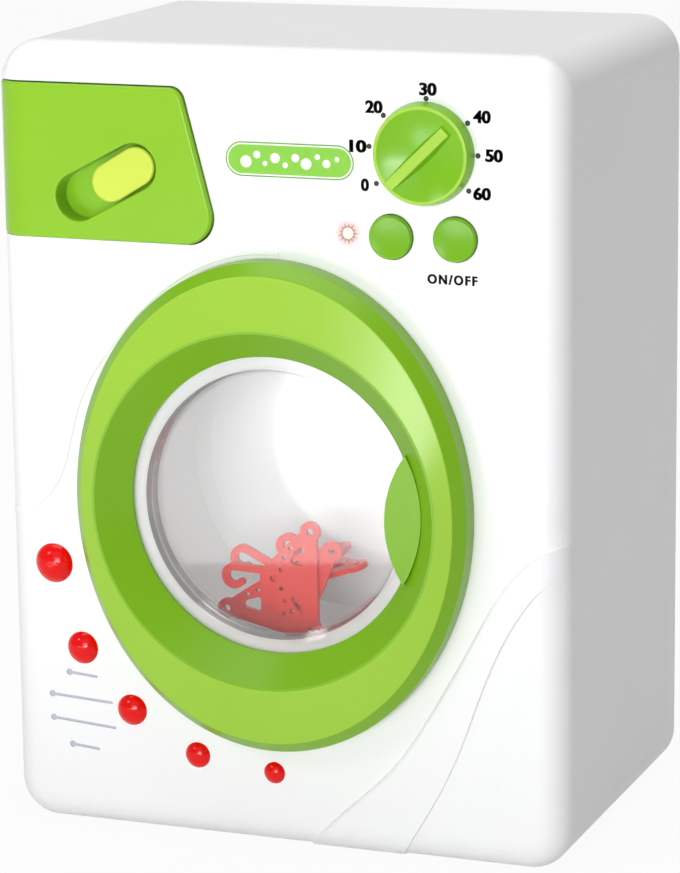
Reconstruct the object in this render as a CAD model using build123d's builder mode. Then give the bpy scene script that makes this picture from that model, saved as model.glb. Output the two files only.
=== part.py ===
from build123d import *
import os
from math import acos, atan2, cos, degrees, pi, radians, sin, tan

# Toy front-loading washing machine with a swinging door, a soap drawer, a dial, two push
# buttons and a drum turned by a small motor through a gearbox.
# Millimetres. X points right, Y to the back, Z up. The origin is on the ground under the
# middle of the cabinet, and the front of the cabinet looks along -Y.

# ---- driving dimensions --------------------------------------------------------------

# cabinet
CABINET_W = 192.0
CABINET_D = 127.0
CABINET_H = 260.0
WALL = 2.2
CORNER_R = 13.4
FRONT_EDGE_R = 9.5
BACK_EDGE_R = 1.4
SLIP = 0.3              # gap round a part that lies or slides in an opening
RUN = 0.05              # radial clearance of a shaft or pin that turns
TOUCH = 0.1             # gap between faces that only meet under load

# relief on the front
BAND_RISE = 1.6
BAND_SOFT_R = 1.4       # rounding along the upper curve
BAND_LOW_SOFT_R = 0.3   # rounding along the lower curve
SWOOSH_RISE = 0.5
SWOOSH_SOFT_R = 0.35
GROOVE_W = 0.9
GROOVE_DEPTH = 0.5
GROOVE_DOT_R = 1.1

# door
DOOR_Z = 115.0
RING_RX = 66.5          # half width of the oval ring
RING_RZ = 79.6          # half height of the oval ring
RING_DROP = 0.5         # centre of the oval, below the middle of the window
RING_GAP = 0.4          # ring to cabinet
RIM_OUT = 7.8           # front edge of the upright rim, ahead of the cabinet
RIM_SOFT_R = 0.5
SHOULDER_RX = 63.3      # second oval, where the slanting side meets the front band
SHOULDER_RZ = 75.9
SHOULDER_OUT = 12.0
SHOULDER_SOFT_R = 0.9
CREST_OUT = 14.2
CREST_R = 58.2
CREST_W = 0.8
HOLE_OUT = 4.4          # window edge of the ring, ahead of the cabinet
HOLE_R = 48.4
RING_WALL = 2.0
RING_SKIN = 1.6         # cavity under the slanting side, in from its edges
LIP_T = 1.4
DOOR_OPENING_R = 50.0
BACK_RING_T = 2.0
WINDOW_T = 1.5
WINDOW_FLANGE_R = 53.0
WINDOW_FLANGE_T = 1.2
PAN_MOUTH_R = 44.0
PANE_R = 42.0
PANE_IN = 2.2           # front face of the pane, behind the front of the cabinet
GRIP_TAB_OUT = 8.3
DOOR_SCREW_X = 40.0
DOOR_SCREW_Z = 50.0

# door hinge
HINGE_X = -62.3
HINGE_OUT = 5.2         # hinge line, ahead of the cabinet
HINGE_SWEEP_R = 4.9     # the ring stays inside this radius left of the hinge line
BARREL_R = 3.2
BARREL_HALF = 13.5
LUG_R = 2.2
LUG_NECK = 3.0
LUG_H = 4.0
LUG_Z = 7.6
HINGE_PIN_R = 1.0
HINGE_PIN_L = 10.5

# door catch
TONGUE_X = 62.0
TONGUE_T = 2.0
TONGUE_H = 12.0
TONGUE_L = 7.6
TONGUE_SWING = 0.9      # room for the tongue's small arc
CATCH_D = 8.0
CATCH_ARM = 1.8

# drum
DRUM_R = 58.0
DRUM_T = 1.8
DRUM_FRONT_Y = -50.0
DRUM_BACK_Y = 8.0
DRUM_MOUTH_R = 52.0
DRUM_HUB_R = 9.0
DRUM_HUB_L = 5.6
SHAFT_R = 2.5

# ring between the front panel and the drum
MOUTH_T = 2.0
MOUTH_FLANGE_Y = -55.3
MOUTH_FLANGE_R = 57.5
MOUTH_TUBE_BACK_Y = -51.0
MOUTH_EAR_R = 62.0
MOUTH_EAR_PAD_R = 5.0
MOUTH_POST_R = 3.2

# bulkhead behind the drum
BULKHEAD_Y = 14.5
BULKHEAD_T = 2.5
BULKHEAD_HALF_W = 87.0
BULKHEAD_LOW_Z = 33.0
POST_X = 82.0
POST_LOW_Z = 40.0
POST_HIGH_Z = 185.0
POST_R = 4.0
BUSH_R = 5.0
BUSH_FLANGE_R = 7.0
BUSH_FLANGE_T = 0.6

# gears
MODULE = 0.75
WHEEL_TEETH = 48
PINION_TEETH = 12
PRESSURE_ANGLE = 20.0
PROFILE_SHIFT = 0.3     # in modules, added to the pinions and taken from the wheels
TOOTH_PLAY = 0.06       # taken from each side of each tooth
WHEEL_W = 4.0
GEAR_GAP = 0.6
GEAR_TURN = 150.0       # direction of the first centre line, in degrees
AXLE_R = 1.0
HUB_SLEEVE_R = 2.2

# gearbox
CASE_T = 1.6
CASE_FLOOR_T = 2.2
CASE_LEFT_X = -41.0
CASE_RIGHT_X = 36.0
CASE_LOW_Z = 93.5
CASE_HIGH_Z = 159.0
CASE_POST_R = 2.8
CASE_POST_IN = 3.0
LID_T = 1.8
CASE_CORNER_R = 3.0

# motor
MOTOR_R = 10.1
MOTOR_FLAT = 15.2
MOTOR_L = 25.0
MOTOR_BOSS_R = 3.1
MOTOR_SHAFT_R = 1.0
MOTOR_SLEEVE_T = 1.5
MOTOR_SLEEVE_L = 9.0

# soap drawer
DRAWER_TOP_Z = 247.0
DRAWER_LOW_Z = 197.4
DRAWER_TOP_X = -30.5
DRAWER_LOW_X = -17.5
DRAWER_TOP_R = 5.0
DRAWER_LOW_R = 9.0
DRAWER_OUT = 2.5
DRAWER_SIDE_OUT = 0.0
DRAWER_WRAP = 24.0      # how far the front runs back along the cabinet's side
DRAWER_SKIN = 2.2
DRAWER_RIM_D = 7.5
DRAWER_EDGE_R = 0.9
DRAWER_TRAVEL = 45.0
GRIP_LEFT = (-65.8, 211.0)
GRIP_RIGHT = (-46.3, 221.3)
GRIP_R = 7.75
GRIP_DEPTH = 8.0
GRIP_SOFT_R = 0.5
GRIP_WALL = 1.6
PAD_LEFT = (-55.2, 215.9)
PAD_R = 6.4
PAD_SUNK = 1.6
PAD_T = 2.4
PAD_STEM_R = 4.2
TRAY_LEFT_X = -88.0
TRAY_RIGHT_X = -38.0
TRAY_LOW_Z = 200.0
TRAY_H = 38.0
TRAY_T = 1.8
TRAY_FRONT_Y = -55.5
TRAY_BACK_Y = 12.0
GUIDE_GAP = 0.4
GUIDE_T = 2.0
GUIDE_BACK_Y = 20.0
GUIDE_WALL_H = 24.0
STOP_W = 4.0
STOP_L = 3.0
STOP_X = -63.0
GUIDE_POST_R = 3.5
GUIDE_POST_Z = 189.5
GUIDE_POST_Y = -20.0
GUIDE_POST_X = (-72.0, -44.0)
GUIDE_EAR_T = 2.5

# dial
DIAL_X = 50.9
DIAL_Z = 229.4
DIAL_R = 16.2
DIAL_FRONT_R = 15.4
DIAL_OUT = 5.0
DIAL_GAP = 0.4
DIAL_DISH = 3.0
DIAL_RIM = 0.9
DIAL_WALL = 1.3
DIAL_SOFT_R = 0.5
DIAL_ZERO = 223.8       # direction of the pointer at rest
POINTER_TOP_W = 3.3
POINTER_FOOT_W = 6.0
POINTER_SOFT_R = 0.4
DIAL_STEM_R = 4.0
RATCHET_R = 8.0
RATCHET_T = 3.0
RATCHET_NOTCHES = 18
RATCHET_NOTCH_R = 0.8
LEAF_T = 0.5            # click spring beside the ratchet
LEAF_HALF = 13.0
LEAF_HOLDER = 3.0

# push buttons, front lamp and control board
LIGHT_X = 39.7
LIGHT_Z = 203.0
POWER_X = 60.75
POWER_Z = 203.2
BUTTON_R = 7.0
BUTTON_OUT = 2.0
BUTTON_HOLE_GAP = 0.3
BUTTON_FLANGE_R = 8.6
BUTTON_FLANGE_T = 1.0
BUTTON_SKIN = 1.8
BUTTON_STEM_R = 2.4
BUTTON_DISH = 0.35
BUTTON_SOFT_R = 0.8
DOME_R = 5.0
DOME_TOP_R = 3.0
DOME_T = 0.9
DOME_H = 2.9
BOARD_Y = -52.0
BOARD_T = 1.6
BOARD_LEFT_X = 17.0
BOARD_RIGHT_X = 77.0
BOARD_LOW_Z = 191.0
BOARD_HIGH_Z = 215.0
BOARD_POSTS = ((27.0, 211.5), (49.5, 194.5), (73.0, 211.5))
BOARD_POST_R = 3.0
LAMP_X = 25.3
LAMP_Z = 203.6
LAMP_R = 1.5

# red bubble lenses: x, z, radius
BUBBLES = (
    (-79.0, 89.0, 6.6), (-69.5, 61.0, 5.45), (-52.3, 41.4, 5.2), (-29.2, 28.3, 4.33), (-2.3, 25.0, 3.65)
)
BUBBLE_RISE = 0.5       # height over radius
BUBBLE_STEM = 0.62      # stem radius over lens radius
BUBBLE_CLIP = 0.5

# batteries
CELL_R = 7.1
CELL_L = 50.0
CELL_PITCH = 15.2
CELL_LOW_Z = 20.0
CELL_COUNT = 3
BAY_HALF_W = 27.4
BAY_T = 1.8
BAY_FLOOR_Y = 44.0
BAY_BOSS_OUT = 4.4      # screw bosses beside the battery bay
BAY_BOSS_L = 12.0
CONTACT_T = 0.5
CONTACT_SIZE = 8.0
COVER_SEAT = 1.2
COVER_TONGUE_HALF_W = 7.0
COVER_TONGUE_L = 7.6

# rear cover
REAR_SCREW_X = 86.5
REAR_SCREW_IN = 9.5
REAR_BOSS_R = 6.0
REAR_BOSS_L = 20.0
VENT_COUNT = 8
VENT_L = 44.0
VENT_W = 2.2
VENT_PITCH = 6.0
VENT_X = 50.0
VENT_Z = 205.0
SPEAKER_X = 62.0
SPEAKER_Z = 42.0
SPEAKER_R = 14.5
GRILLE_HOLE_R = 1.1

# screws
SCREW_R = 1.3
SCREW_HEAD_R = 2.6
SCREW_HEAD_H = 1.1
SMALL_SCREW_R = 1.0
SMALL_HEAD_R = 2.0

# doll hangers lying in the drum
HANGER_T = 1.8
HANGER_HALF = 16.5
HANGER_EYE_R = 3.4
HANGER_BAR = 4.6
HANGER_HOOK_W = 2.5
HANGER_HOOK_R = 3.1
HANGER_HOOK_AT = 27.0   # centre of the hook, from the middle of the bar
HANGER_BACK_Y = -36.3
HANGER_GAP = 0.05       # from one hanger in the pile to the next
# middle of the bar (x, z), turn and backward lean in degrees, from the front of the pile
HANGERS = ((2.6, 84.0, 90.5, 0), (2.8, 79.0, 67.0, 0), (-12.5, 67.75, -12.6, 0), (0.4, 81.6, 19.8, 82))

# ---- places that follow --------------------------------------------------------------

FRONT_Y = -CABINET_D / 2
BACK_Y = CABINET_D / 2
INSIDE_FRONT_Y = FRONT_Y + WALL
INSIDE_BACK_Y = BACK_Y - WALL
RING_BACK_Y = FRONT_Y - RING_GAP
RIM_Y = FRONT_Y - RIM_OUT
SHOULDER_Y = FRONT_Y - SHOULDER_OUT
CREST_Y = FRONT_Y - CREST_OUT
HOLE_Y = FRONT_Y - HOLE_OUT
LIP_BACK_Y = HOLE_Y + LIP_T
FLANGE_BACK_Y = LIP_BACK_Y + WINDOW_FLANGE_T
BACK_RING_FRONT_Y = RING_BACK_Y - BACK_RING_T
HINGE_Y = FRONT_Y - HINGE_OUT
SHAFT_FRONT_Y = DRUM_BACK_Y - 0.8
HUB_BACK_Y = DRUM_BACK_Y + DRUM_HUB_L
BULKHEAD_BACK_Y = BULKHEAD_Y + BULKHEAD_T
CASE_INSIDE_Y = BULKHEAD_BACK_Y + CASE_FLOOR_T
WHEEL_A_Y = CASE_INSIDE_Y + GEAR_GAP
WHEEL_B_Y = WHEEL_A_Y + WHEEL_W + GEAR_GAP
WHEEL_C_Y = WHEEL_B_Y + WHEEL_W + GEAR_GAP
LID_Y = WHEEL_C_Y + WHEEL_W + GEAR_GAP
LID_BACK_Y = LID_Y + LID_T
CENTRES = MODULE * (WHEEL_TEETH + PINION_TEETH) / 2
DRUM_AXIS = (0.0, DOOR_Z)
RING_MIDDLE = (0.0, DOOR_Z - RING_DROP)
GUIDE_FLOOR_Z = TRAY_LOW_Z - GUIDE_GAP
DRAWER_FRONT_Y = FRONT_Y - DRAWER_OUT
DRAWER_LEFT_X = -CABINET_W / 2 - DRAWER_SIDE_OUT


def facing(y):
    """Upright plane at depth y, drawn on from the front: x to the right, z up."""
    return Plane.XZ.offset(-y)


def across(x, z):
    """Plane through the front-to-back line at x, z: y to the right, height over z up."""
    return Plane(origin=(x, 0, z), x_dir=(0, 1, 0), z_dir=(1, 0, 0))


def turned(x, z, outline):
    """Solid turned about the front-to-back line at x, z from its (y, radius) outline."""
    with BuildPart() as blank:
        with BuildSketch(across(x, z)):
            with BuildLine():
                Polyline(*outline, close=True)
            make_face()
        revolve(axis=Axis((x, 0, z), (0, 1, 0)))
    return blank.part


def rounded_corner(front_y, radius, soft_r):
    """Quarter round between the front and the side of a turned outline."""
    ThreePointArc(
        (front_y + soft_r, radius),
        (front_y + soft_r * (1 - sin(pi / 4)), radius - soft_r * (1 - cos(pi / 4))),
        (front_y, radius - soft_r),
    )


def disc(x, z, radius, front_y, back_y):
    """Round bar along Y between two depths."""
    return turned(x, z, [(front_y, 0), (front_y, radius), (back_y, radius), (back_y, 0)])


def screw(x, z, seat_y, length, radius=SCREW_R, head_r=SCREW_HEAD_R):
    """Pan-head screw driven from the back, with its head behind seat_y."""
    head_y = seat_y + SCREW_HEAD_H
    slot_w = head_r * 0.3
    with BuildPart() as fastener:
        add(disc(x, z, head_r, seat_y, head_y))
        add(disc(x, z, radius, seat_y - length, seat_y))
        with BuildSketch(facing(head_y)):
            with Locations((x, z)):
                Rectangle(head_r * 1.3, slot_w)
                Rectangle(slot_w, head_r * 1.3)
        extrude(amount=SCREW_HEAD_H * 0.5, mode=Mode.SUBTRACT)
    return fastener.part


def screws(places, seat_y, length, radius=SCREW_R, head_r=SCREW_HEAD_R):
    """The same screw at several places."""
    with BuildPart() as group:
        for x, z in places:
            add(screw(x, z, seat_y, length, radius, head_r))
    return group.part


def finish(piece, name):
    """Name a finished piece and write it."""
    piece.part.label = name
    export_step(piece.part, f"parts/{name}.step")


def cabinet_block(inset, front_y, back_y):
    """Block with the cabinet's rounded corners and front edge, inset from its skin."""
    with BuildPart() as block:
        with BuildSketch(facing(back_y)):
            with Locations((0, CABINET_H / 2)):
                RectangleRounded(CABINET_W - 2 * inset, CABINET_H - 2 * inset, CORNER_R - inset)
        extrude(amount=back_y - front_y)
        fillet(block.faces().sort_by(Axis.Y)[0].edges(), FRONT_EDGE_R - inset)
    return block.part


def relief(rise, upper_soft_r, lower_soft_r, depth, upper, lower):
    """Raised band of the front between two curves, rounded along both."""
    with BuildPart() as band:
        with BuildSketch(facing(FRONT_Y - rise)):
            with BuildLine():
                top = Spline(*upper)
                bottom = Spline(*lower)
                Line(top @ 0, bottom @ 0)
                Line(top @ 1, bottom @ 1)
            make_face()
        extrude(amount=-depth)
        front_curves = band.faces().sort_by(Axis.Y)[0].edges().filter_by(GeomType.BSPLINE)
        fillet(front_curves.sort_by(Axis.X)[0], upper_soft_r)
        front_curves = band.faces().sort_by(Axis.Y)[0].edges().filter_by(GeomType.BSPLINE)
        fillet(front_curves.sort_by(Axis.X)[-1], lower_soft_r)
        add(cabinet_block(0, FRONT_Y - rise, FRONT_Y - rise + depth), mode=Mode.INTERSECT)
    return band.part


def drawer_outline(grow):
    """Outline of the drawer front on the front panel, grown all round."""
    left = DRAWER_LEFT_X - grow
    with BuildSketch() as outline:
        with BuildLine():
            FilletPolyline(
                (left, DRAWER_LOW_Z - grow),
                (DRAWER_LOW_X + grow, DRAWER_LOW_Z - grow),
                (DRAWER_TOP_X + grow, DRAWER_TOP_Z + grow),
                (left, DRAWER_TOP_Z + grow),
                radius=(DRAWER_LOW_R, DRAWER_TOP_R),
            )
            Line((left, DRAWER_TOP_Z + grow), (left, DRAWER_LOW_Z - grow))
        make_face()
    return outline.sketch


def slot_between(start, end):
    """Centre line, length and slant of a slot from its two end centres."""
    dx = end[0] - start[0]
    dz = end[1] - start[1]
    middle = ((start[0] + end[0]) / 2, (start[1] + end[1]) / 2)
    return middle, (dx * dx + dz * dz) ** 0.5, degrees(atan2(dz, dx))


def gear_disc(teeth, shift, centre, first_tooth, front_y, back_y):
    """Involute gear with a tooth centred on the direction first_tooth (degrees)."""
    pitch_r = MODULE * teeth / 2
    base_r = pitch_r * cos(radians(PRESSURE_ANGLE))
    root_r = pitch_r - MODULE * (1.25 - shift)
    tip_r = pitch_r + MODULE * (0.95 + shift)
    start_r = max(base_r, root_r) + 0.02 * MODULE
    half_pitch_angle = (pi / 2 + 2 * shift * tan(radians(PRESSURE_ANGLE))) / teeth - TOOTH_PLAY / pitch_r

    def involute(angle):
        return tan(angle) - angle

    def half_angle(radius):
        turn = acos(base_r / radius)
        return half_pitch_angle + involute(radians(PRESSURE_ANGLE)) - involute(turn)

    def spot(radius, angle):
        return (centre[0] + radius * cos(angle), centre[1] + radius * sin(angle))

    middle_r = (start_r + tip_r) / 2
    with BuildPart() as gear:
        with BuildSketch(facing(back_y)):
            with BuildLine():
                for tooth in range(teeth):
                    at = radians(first_tooth) + 2 * pi * tooth / teeth
                    following = at + 2 * pi / teeth
                    foot = half_angle(start_r)
                    waist = half_angle(middle_r)
                    tip = half_angle(tip_r)
                    Line(spot(root_r, at - foot), spot(start_r, at - foot))
                    ThreePointArc(
                        spot(start_r, at - foot), spot(middle_r, at - waist), spot(tip_r, at - tip)
                    )
                    Line(spot(tip_r, at - tip), spot(tip_r, at + tip))
                    ThreePointArc(
                        spot(tip_r, at + tip), spot(middle_r, at + waist), spot(start_r, at + foot)
                    )
                    Line(spot(start_r, at + foot), spot(root_r, at + foot))
                    Line(spot(root_r, at + foot), spot(root_r, following - foot))
            make_face()
        extrude(amount=back_y - front_y)
    return gear.part


def polar(centre, distance, angle):
    """Place at a distance and direction (degrees) from a centre."""
    return (centre[0] + distance * cos(radians(angle)), centre[1] + distance * sin(radians(angle)))


os.makedirs("parts", exist_ok=True)

# ---- cabinet shell -------------------------------------------------------------------

rear_screw_places = [
    (side * REAR_SCREW_X, z) for side in (-1, 1) for z in (REAR_SCREW_IN, CABINET_H - REAR_SCREW_IN)
]
post_places = [(side * POST_X, z) for side in (-1, 1) for z in (POST_LOW_Z, POST_HIGH_Z)]
mouth_post_places = [polar(DRUM_AXIS, MOUTH_EAR_R, angle) for angle in (45, 135, 225, 315)]
guide_post_places = [(x, GUIDE_POST_Z) for x in GUIDE_POST_X]
ratchet_front_y = INSIDE_FRONT_Y + TOUCH
leaf_low_z = DIAL_Z + RATCHET_R + SLIP + RATCHET_NOTCH_R

right_band = relief(
    BAND_RISE,
    BAND_SOFT_R,
    BAND_LOW_SOFT_R,
    20,
    [
        (6.6, -3.0), (19.7, 12.6), (38.1, 30.3), (52.5, 51.5), (65.8, 75.4), (76.9, 94.2),
        (85.4, 102.9), (100.0, 108.2),
    ],
    [(38.3, -3.0), (49.7, 14.8), (60.4, 35.8), (68.8, 58.3), (77.2, 77.4), (87.5, 92.5), (100.0, 102.4)],
)
left_swoosh = relief(
    SWOOSH_RISE,
    SWOOSH_SOFT_R,
    SWOOSH_SOFT_R,
    20,
    [
        (-100.0, 107.0), (-87.0, 109.0), (-78.8, 116.7), (-73.6, 131.9), (-69.4, 146.9), (-61.0, 165.4),
        (-43.6, 181.8), (-22.0, 193.9), (2.0, 196.4),
    ],
    [
        (-100.0, 104.6), (-86.0, 106.8), (-76.7, 116.0), (-71.4, 131.3), (-66.8, 146.0), (-55.8, 162.9),
        (-40.3, 179.6), (-21.0, 191.4), (2.0, 195.0),
    ],
)
# left and right end of each groove, as (x, z)
grooves = (
    ((-74.6, 52.3), (-64.9, 51.5)), ((-81.0, 44.3), (-59.7, 43.1)),
    ((-80.7, 36.2), (-58.6, 34.6)), ((-74.1, 27.6), (-64.7, 26.8)),
)

with BuildPart() as cabinet_shell:
    add(cabinet_block(0, FRONT_Y, BACK_Y))
    fillet(cabinet_shell.faces().sort_by(Axis.Y)[-1].edges(), BACK_EDGE_R)
    add(right_band)
    add(left_swoosh)
    add(cabinet_block(WALL, INSIDE_FRONT_Y, BACK_Y), mode=Mode.SUBTRACT)
    with BuildSketch(facing(FRONT_Y - 3)):
        with Locations(DRUM_AXIS):
            Circle(DOOR_OPENING_R)
        with Locations((DIAL_X, DIAL_Z)):
            Circle(DIAL_STEM_R + SLIP)
        with Locations((LIGHT_X, LIGHT_Z), (POWER_X, POWER_Z)):
            Circle(BUTTON_R + BUTTON_HOLE_GAP)
        with Locations((LAMP_X, LAMP_Z)):
            Circle(LAMP_R + TOUCH)
        with Locations((TONGUE_X, DOOR_Z)):
            Rectangle(TONGUE_T + 2 * TONGUE_SWING, TONGUE_H + 2 * TONGUE_SWING)
        for x, z, radius in BUBBLES:
            with Locations((x, z)):
                Circle(radius * BUBBLE_STEM + TOUCH)
    extrude(amount=-(WALL + 3.5), mode=Mode.SUBTRACT)
    with BuildSketch(facing(FRONT_Y - 4)):
        add(drawer_outline(GUIDE_GAP))
    extrude(amount=-(DRAWER_WRAP + 4), mode=Mode.SUBTRACT)
    with BuildSketch(facing(FRONT_Y + GROOVE_DEPTH)):
        for left_end, right_end in grooves:
            middle, length, slant = slot_between(left_end, right_end)
            with Locations(middle):
                SlotCenterToCenter(length, GROOVE_W, rotation=slant)
            with Locations(left_end):
                Circle(GROOVE_DOT_R)
    extrude(amount=2, mode=Mode.SUBTRACT)
    for x, z in rear_screw_places:
        add(disc(x, z, REAR_BOSS_R, INSIDE_BACK_Y - REAR_BOSS_L, INSIDE_BACK_Y))
    for x, z in post_places:
        add(disc(x, z, POST_R, INSIDE_FRONT_Y - WALL / 2, BULKHEAD_Y))
    for x, z in mouth_post_places:
        add(disc(x, z, MOUTH_POST_R, INSIDE_FRONT_Y - WALL / 2, MOUTH_FLANGE_Y))
    for x, z in guide_post_places:
        add(disc(x, z, GUIDE_POST_R, INSIDE_FRONT_Y - WALL / 2, GUIDE_POST_Y))
    for x, z in BOARD_POSTS:
        add(disc(x, z, BOARD_POST_R, INSIDE_FRONT_Y - WALL / 2, BOARD_Y))
    for side in (-1, 1):
        with Locations((HINGE_X, HINGE_Y, DOOR_Z + side * LUG_Z)):
            Cylinder(LUG_R, LUG_H)
        with Locations((HINGE_X, (HINGE_Y + FRONT_Y + 1) / 2, DOOR_Z + side * LUG_Z)):
            Box(LUG_NECK, FRONT_Y + 1 - HINGE_Y, LUG_H)
    with Locations((HINGE_X, HINGE_Y, DOOR_Z)):
        Cylinder(HINGE_PIN_R, 4 * LUG_Z, mode=Mode.SUBTRACT)
    for side in (-1, 1):
        with Locations((DIAL_X + side * LEAF_HALF, INSIDE_FRONT_Y + RATCHET_T / 2, leaf_low_z + LEAF_T / 2)):
            Box(LEAF_HOLDER, RATCHET_T + 1, 3 * LEAF_HOLDER)
            Box(LEAF_HOLDER + 2, RATCHET_T + 2, LEAF_T + 2 * TOUCH, mode=Mode.SUBTRACT)
    for x, z in rear_screw_places:
        add(disc(x, z, SCREW_R, INSIDE_BACK_Y - 12, INSIDE_BACK_Y + 1), mode=Mode.SUBTRACT)
    for x, z in post_places:
        add(disc(x, z, SCREW_R, BULKHEAD_Y - 12, BULKHEAD_Y + 1), mode=Mode.SUBTRACT)
    for x, z in mouth_post_places:
        add(disc(x, z, SMALL_SCREW_R, MOUTH_FLANGE_Y - 5, MOUTH_FLANGE_Y + 1), mode=Mode.SUBTRACT)
    for x, z in guide_post_places:
        add(disc(x, z, SCREW_R, GUIDE_POST_Y - 10, GUIDE_POST_Y + 1), mode=Mode.SUBTRACT)
    for x, z in BOARD_POSTS:
        add(disc(x, z, SMALL_SCREW_R, BOARD_Y - 7, BOARD_Y + 1), mode=Mode.SUBTRACT)
finish(cabinet_shell, "cabinet_shell")

# ---- rear cover and batteries --------------------------------------------------------

bay_low_z = CELL_LOW_Z - CELL_R - GUIDE_GAP
bay_high_z = CELL_LOW_Z + (CELL_COUNT - 1) * CELL_PITCH + CELL_R + GUIDE_GAP
bay_middle_z = (bay_low_z + bay_high_z) / 2
bay_h = bay_high_z - bay_low_z
cell_y = BAY_FLOOR_Y + TOUCH + CELL_R
cover_screw_z = bay_high_z + COVER_SEAT + COVER_TONGUE_L / 2
bay_boss_places = [
    (side * (BAY_HALF_W + BAY_T + BAY_BOSS_OUT), z)
    for side in (-1, 1)
    for z in (CELL_LOW_Z, CELL_LOW_Z + (CELL_COUNT - 1) * CELL_PITCH)
]
cell_places = [(cell_y, CELL_LOW_Z + row * CELL_PITCH) for row in range(CELL_COUNT)]


def battery_door(shrink):
    """Outline of the battery opening with its screw tongue, shrunk all round."""
    width = 2 * (BAY_HALF_W + COVER_SEAT - shrink)
    with BuildSketch() as outline:
        with Locations((0, bay_middle_z)):
            RectangleRounded(width, bay_h + 2 * (COVER_SEAT - shrink), 2)
        with Locations((0, bay_high_z + COVER_SEAT + (COVER_TONGUE_L - COVER_SEAT) / 2)):
            RectangleRounded(
                2 * (COVER_TONGUE_HALF_W - shrink), COVER_TONGUE_L + COVER_SEAT - 2 * shrink, 2
            )
    return outline.sketch


head_depth = SCREW_HEAD_H + TOUCH
head_hole_r = SCREW_HEAD_R + SLIP

with BuildPart() as rear_cover:
    with BuildSketch(facing(BACK_Y)):
        with Locations((0, CABINET_H / 2)):
            RectangleRounded(
                CABINET_W - 2 * (WALL + SLIP), CABINET_H - 2 * (WALL + SLIP), CORNER_R - WALL - SLIP
            )
        add(battery_door(0), mode=Mode.SUBTRACT)
        with Locations((VENT_X, VENT_Z), (-VENT_X, VENT_Z)):
            with GridLocations(VENT_L, VENT_PITCH, 1, VENT_COUNT):
                SlotOverall(VENT_L, VENT_W, mode=Mode.SUBTRACT)
        with Locations((SPEAKER_X, SPEAKER_Z)):
            Circle(GRILLE_HOLE_R, mode=Mode.SUBTRACT)
            for ring in (1, 2, 3):
                with PolarLocations(ring * SPEAKER_R / 4, 6 * ring):
                    Circle(GRILLE_HOLE_R, mode=Mode.SUBTRACT)
    extrude(amount=WALL)
    with BuildSketch(facing(INSIDE_BACK_Y)):
        with Locations((SPEAKER_X, SPEAKER_Z)):
            Circle(SPEAKER_R + SLIP + WALL)
            Circle(SPEAKER_R + SLIP, mode=Mode.SUBTRACT)
    extrude(amount=4)
    for x, z in rear_screw_places + bay_boss_places:
        add(disc(x, z, SCREW_R, INSIDE_BACK_Y - 1, BACK_Y + 1), mode=Mode.SUBTRACT)
        add(disc(x, z, head_hole_r, BACK_Y - head_depth, BACK_Y + 1), mode=Mode.SUBTRACT)
finish(rear_cover, "rear_cover")

with BuildPart() as rear_cover_screws:
    add(screws(rear_screw_places, BACK_Y - head_depth, 10))
finish(rear_cover_screws, "rear_cover_screws")

with BuildPart() as battery_box:
    with BuildSketch(facing(INSIDE_BACK_Y)):
        with Locations((0, bay_middle_z)):
            Rectangle(2 * (BAY_HALF_W + BAY_T), bay_h + 2 * BAY_T)
    extrude(amount=INSIDE_BACK_Y - BAY_FLOOR_Y + BAY_T)
    for x, z in bay_boss_places:
        add(disc(x, z, POST_R, INSIDE_BACK_Y - BAY_BOSS_L, INSIDE_BACK_Y))
        inner = (abs(x) - BAY_HALF_W - BAY_T / 2) / 2
        with Locations((x - inner * x / abs(x), INSIDE_BACK_Y - BAY_BOSS_L / 2, z)):
            Box(2 * inner, BAY_BOSS_L, POST_R)
    add(disc(0, cover_screw_z, POST_R, INSIDE_BACK_Y - BAY_BOSS_L, INSIDE_BACK_Y))
    with BuildSketch(facing(INSIDE_BACK_Y)):
        with Locations((0, bay_middle_z)):
            Rectangle(2 * BAY_HALF_W, bay_h)
    extrude(amount=INSIDE_BACK_Y - BAY_FLOOR_Y, mode=Mode.SUBTRACT)
    for x, z in bay_boss_places + [(0, cover_screw_z)]:
        add(disc(x, z, SCREW_R, INSIDE_BACK_Y - 10, INSIDE_BACK_Y + 1), mode=Mode.SUBTRACT)
finish(battery_box, "battery_box")

with BuildPart() as battery_box_screws:
    add(screws(bay_boss_places, BACK_Y - head_depth, 8))
finish(battery_box_screws, "battery_box_screws")

with BuildPart() as battery_cells:
    for row, (y, z) in enumerate(cell_places):
        plus = 1 if row % 2 == 0 else -1
        with Locations(Location((0, y, z), (0, 90, 0))):
            Cylinder(CELL_R, CELL_L)
        with Locations(Location((plus * (CELL_L / 2 + 0.5), y, z), (0, 90, 0))):
            Cylinder(2.7, 1.0)
finish(battery_cells, "battery_cells")

spring_gap = BAY_HALF_W - CONTACT_T - CELL_L / 2
with BuildPart() as battery_contacts:
    for row, (y, z) in enumerate(cell_places):
        plus = 1 if row % 2 == 0 else -1
        for side in (-1, 1):
            with Locations((side * (BAY_HALF_W - CONTACT_T / 2), y, z)):
                Box(CONTACT_T, CONTACT_SIZE, CONTACT_SIZE)
        with Locations(Location((plus * (BAY_HALF_W - CONTACT_T - 0.4), y, z), (0, 90, 0))):
            Cylinder(2.2, 0.8)
        spring_x = -plus * (BAY_HALF_W - CONTACT_T - spring_gap / 2)
        with Locations(Location((spring_x, y, z), (0, plus * 90, 0))):
            Cone(3.4, 2.4, spring_gap)
finish(battery_contacts, "battery_contacts")

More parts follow.
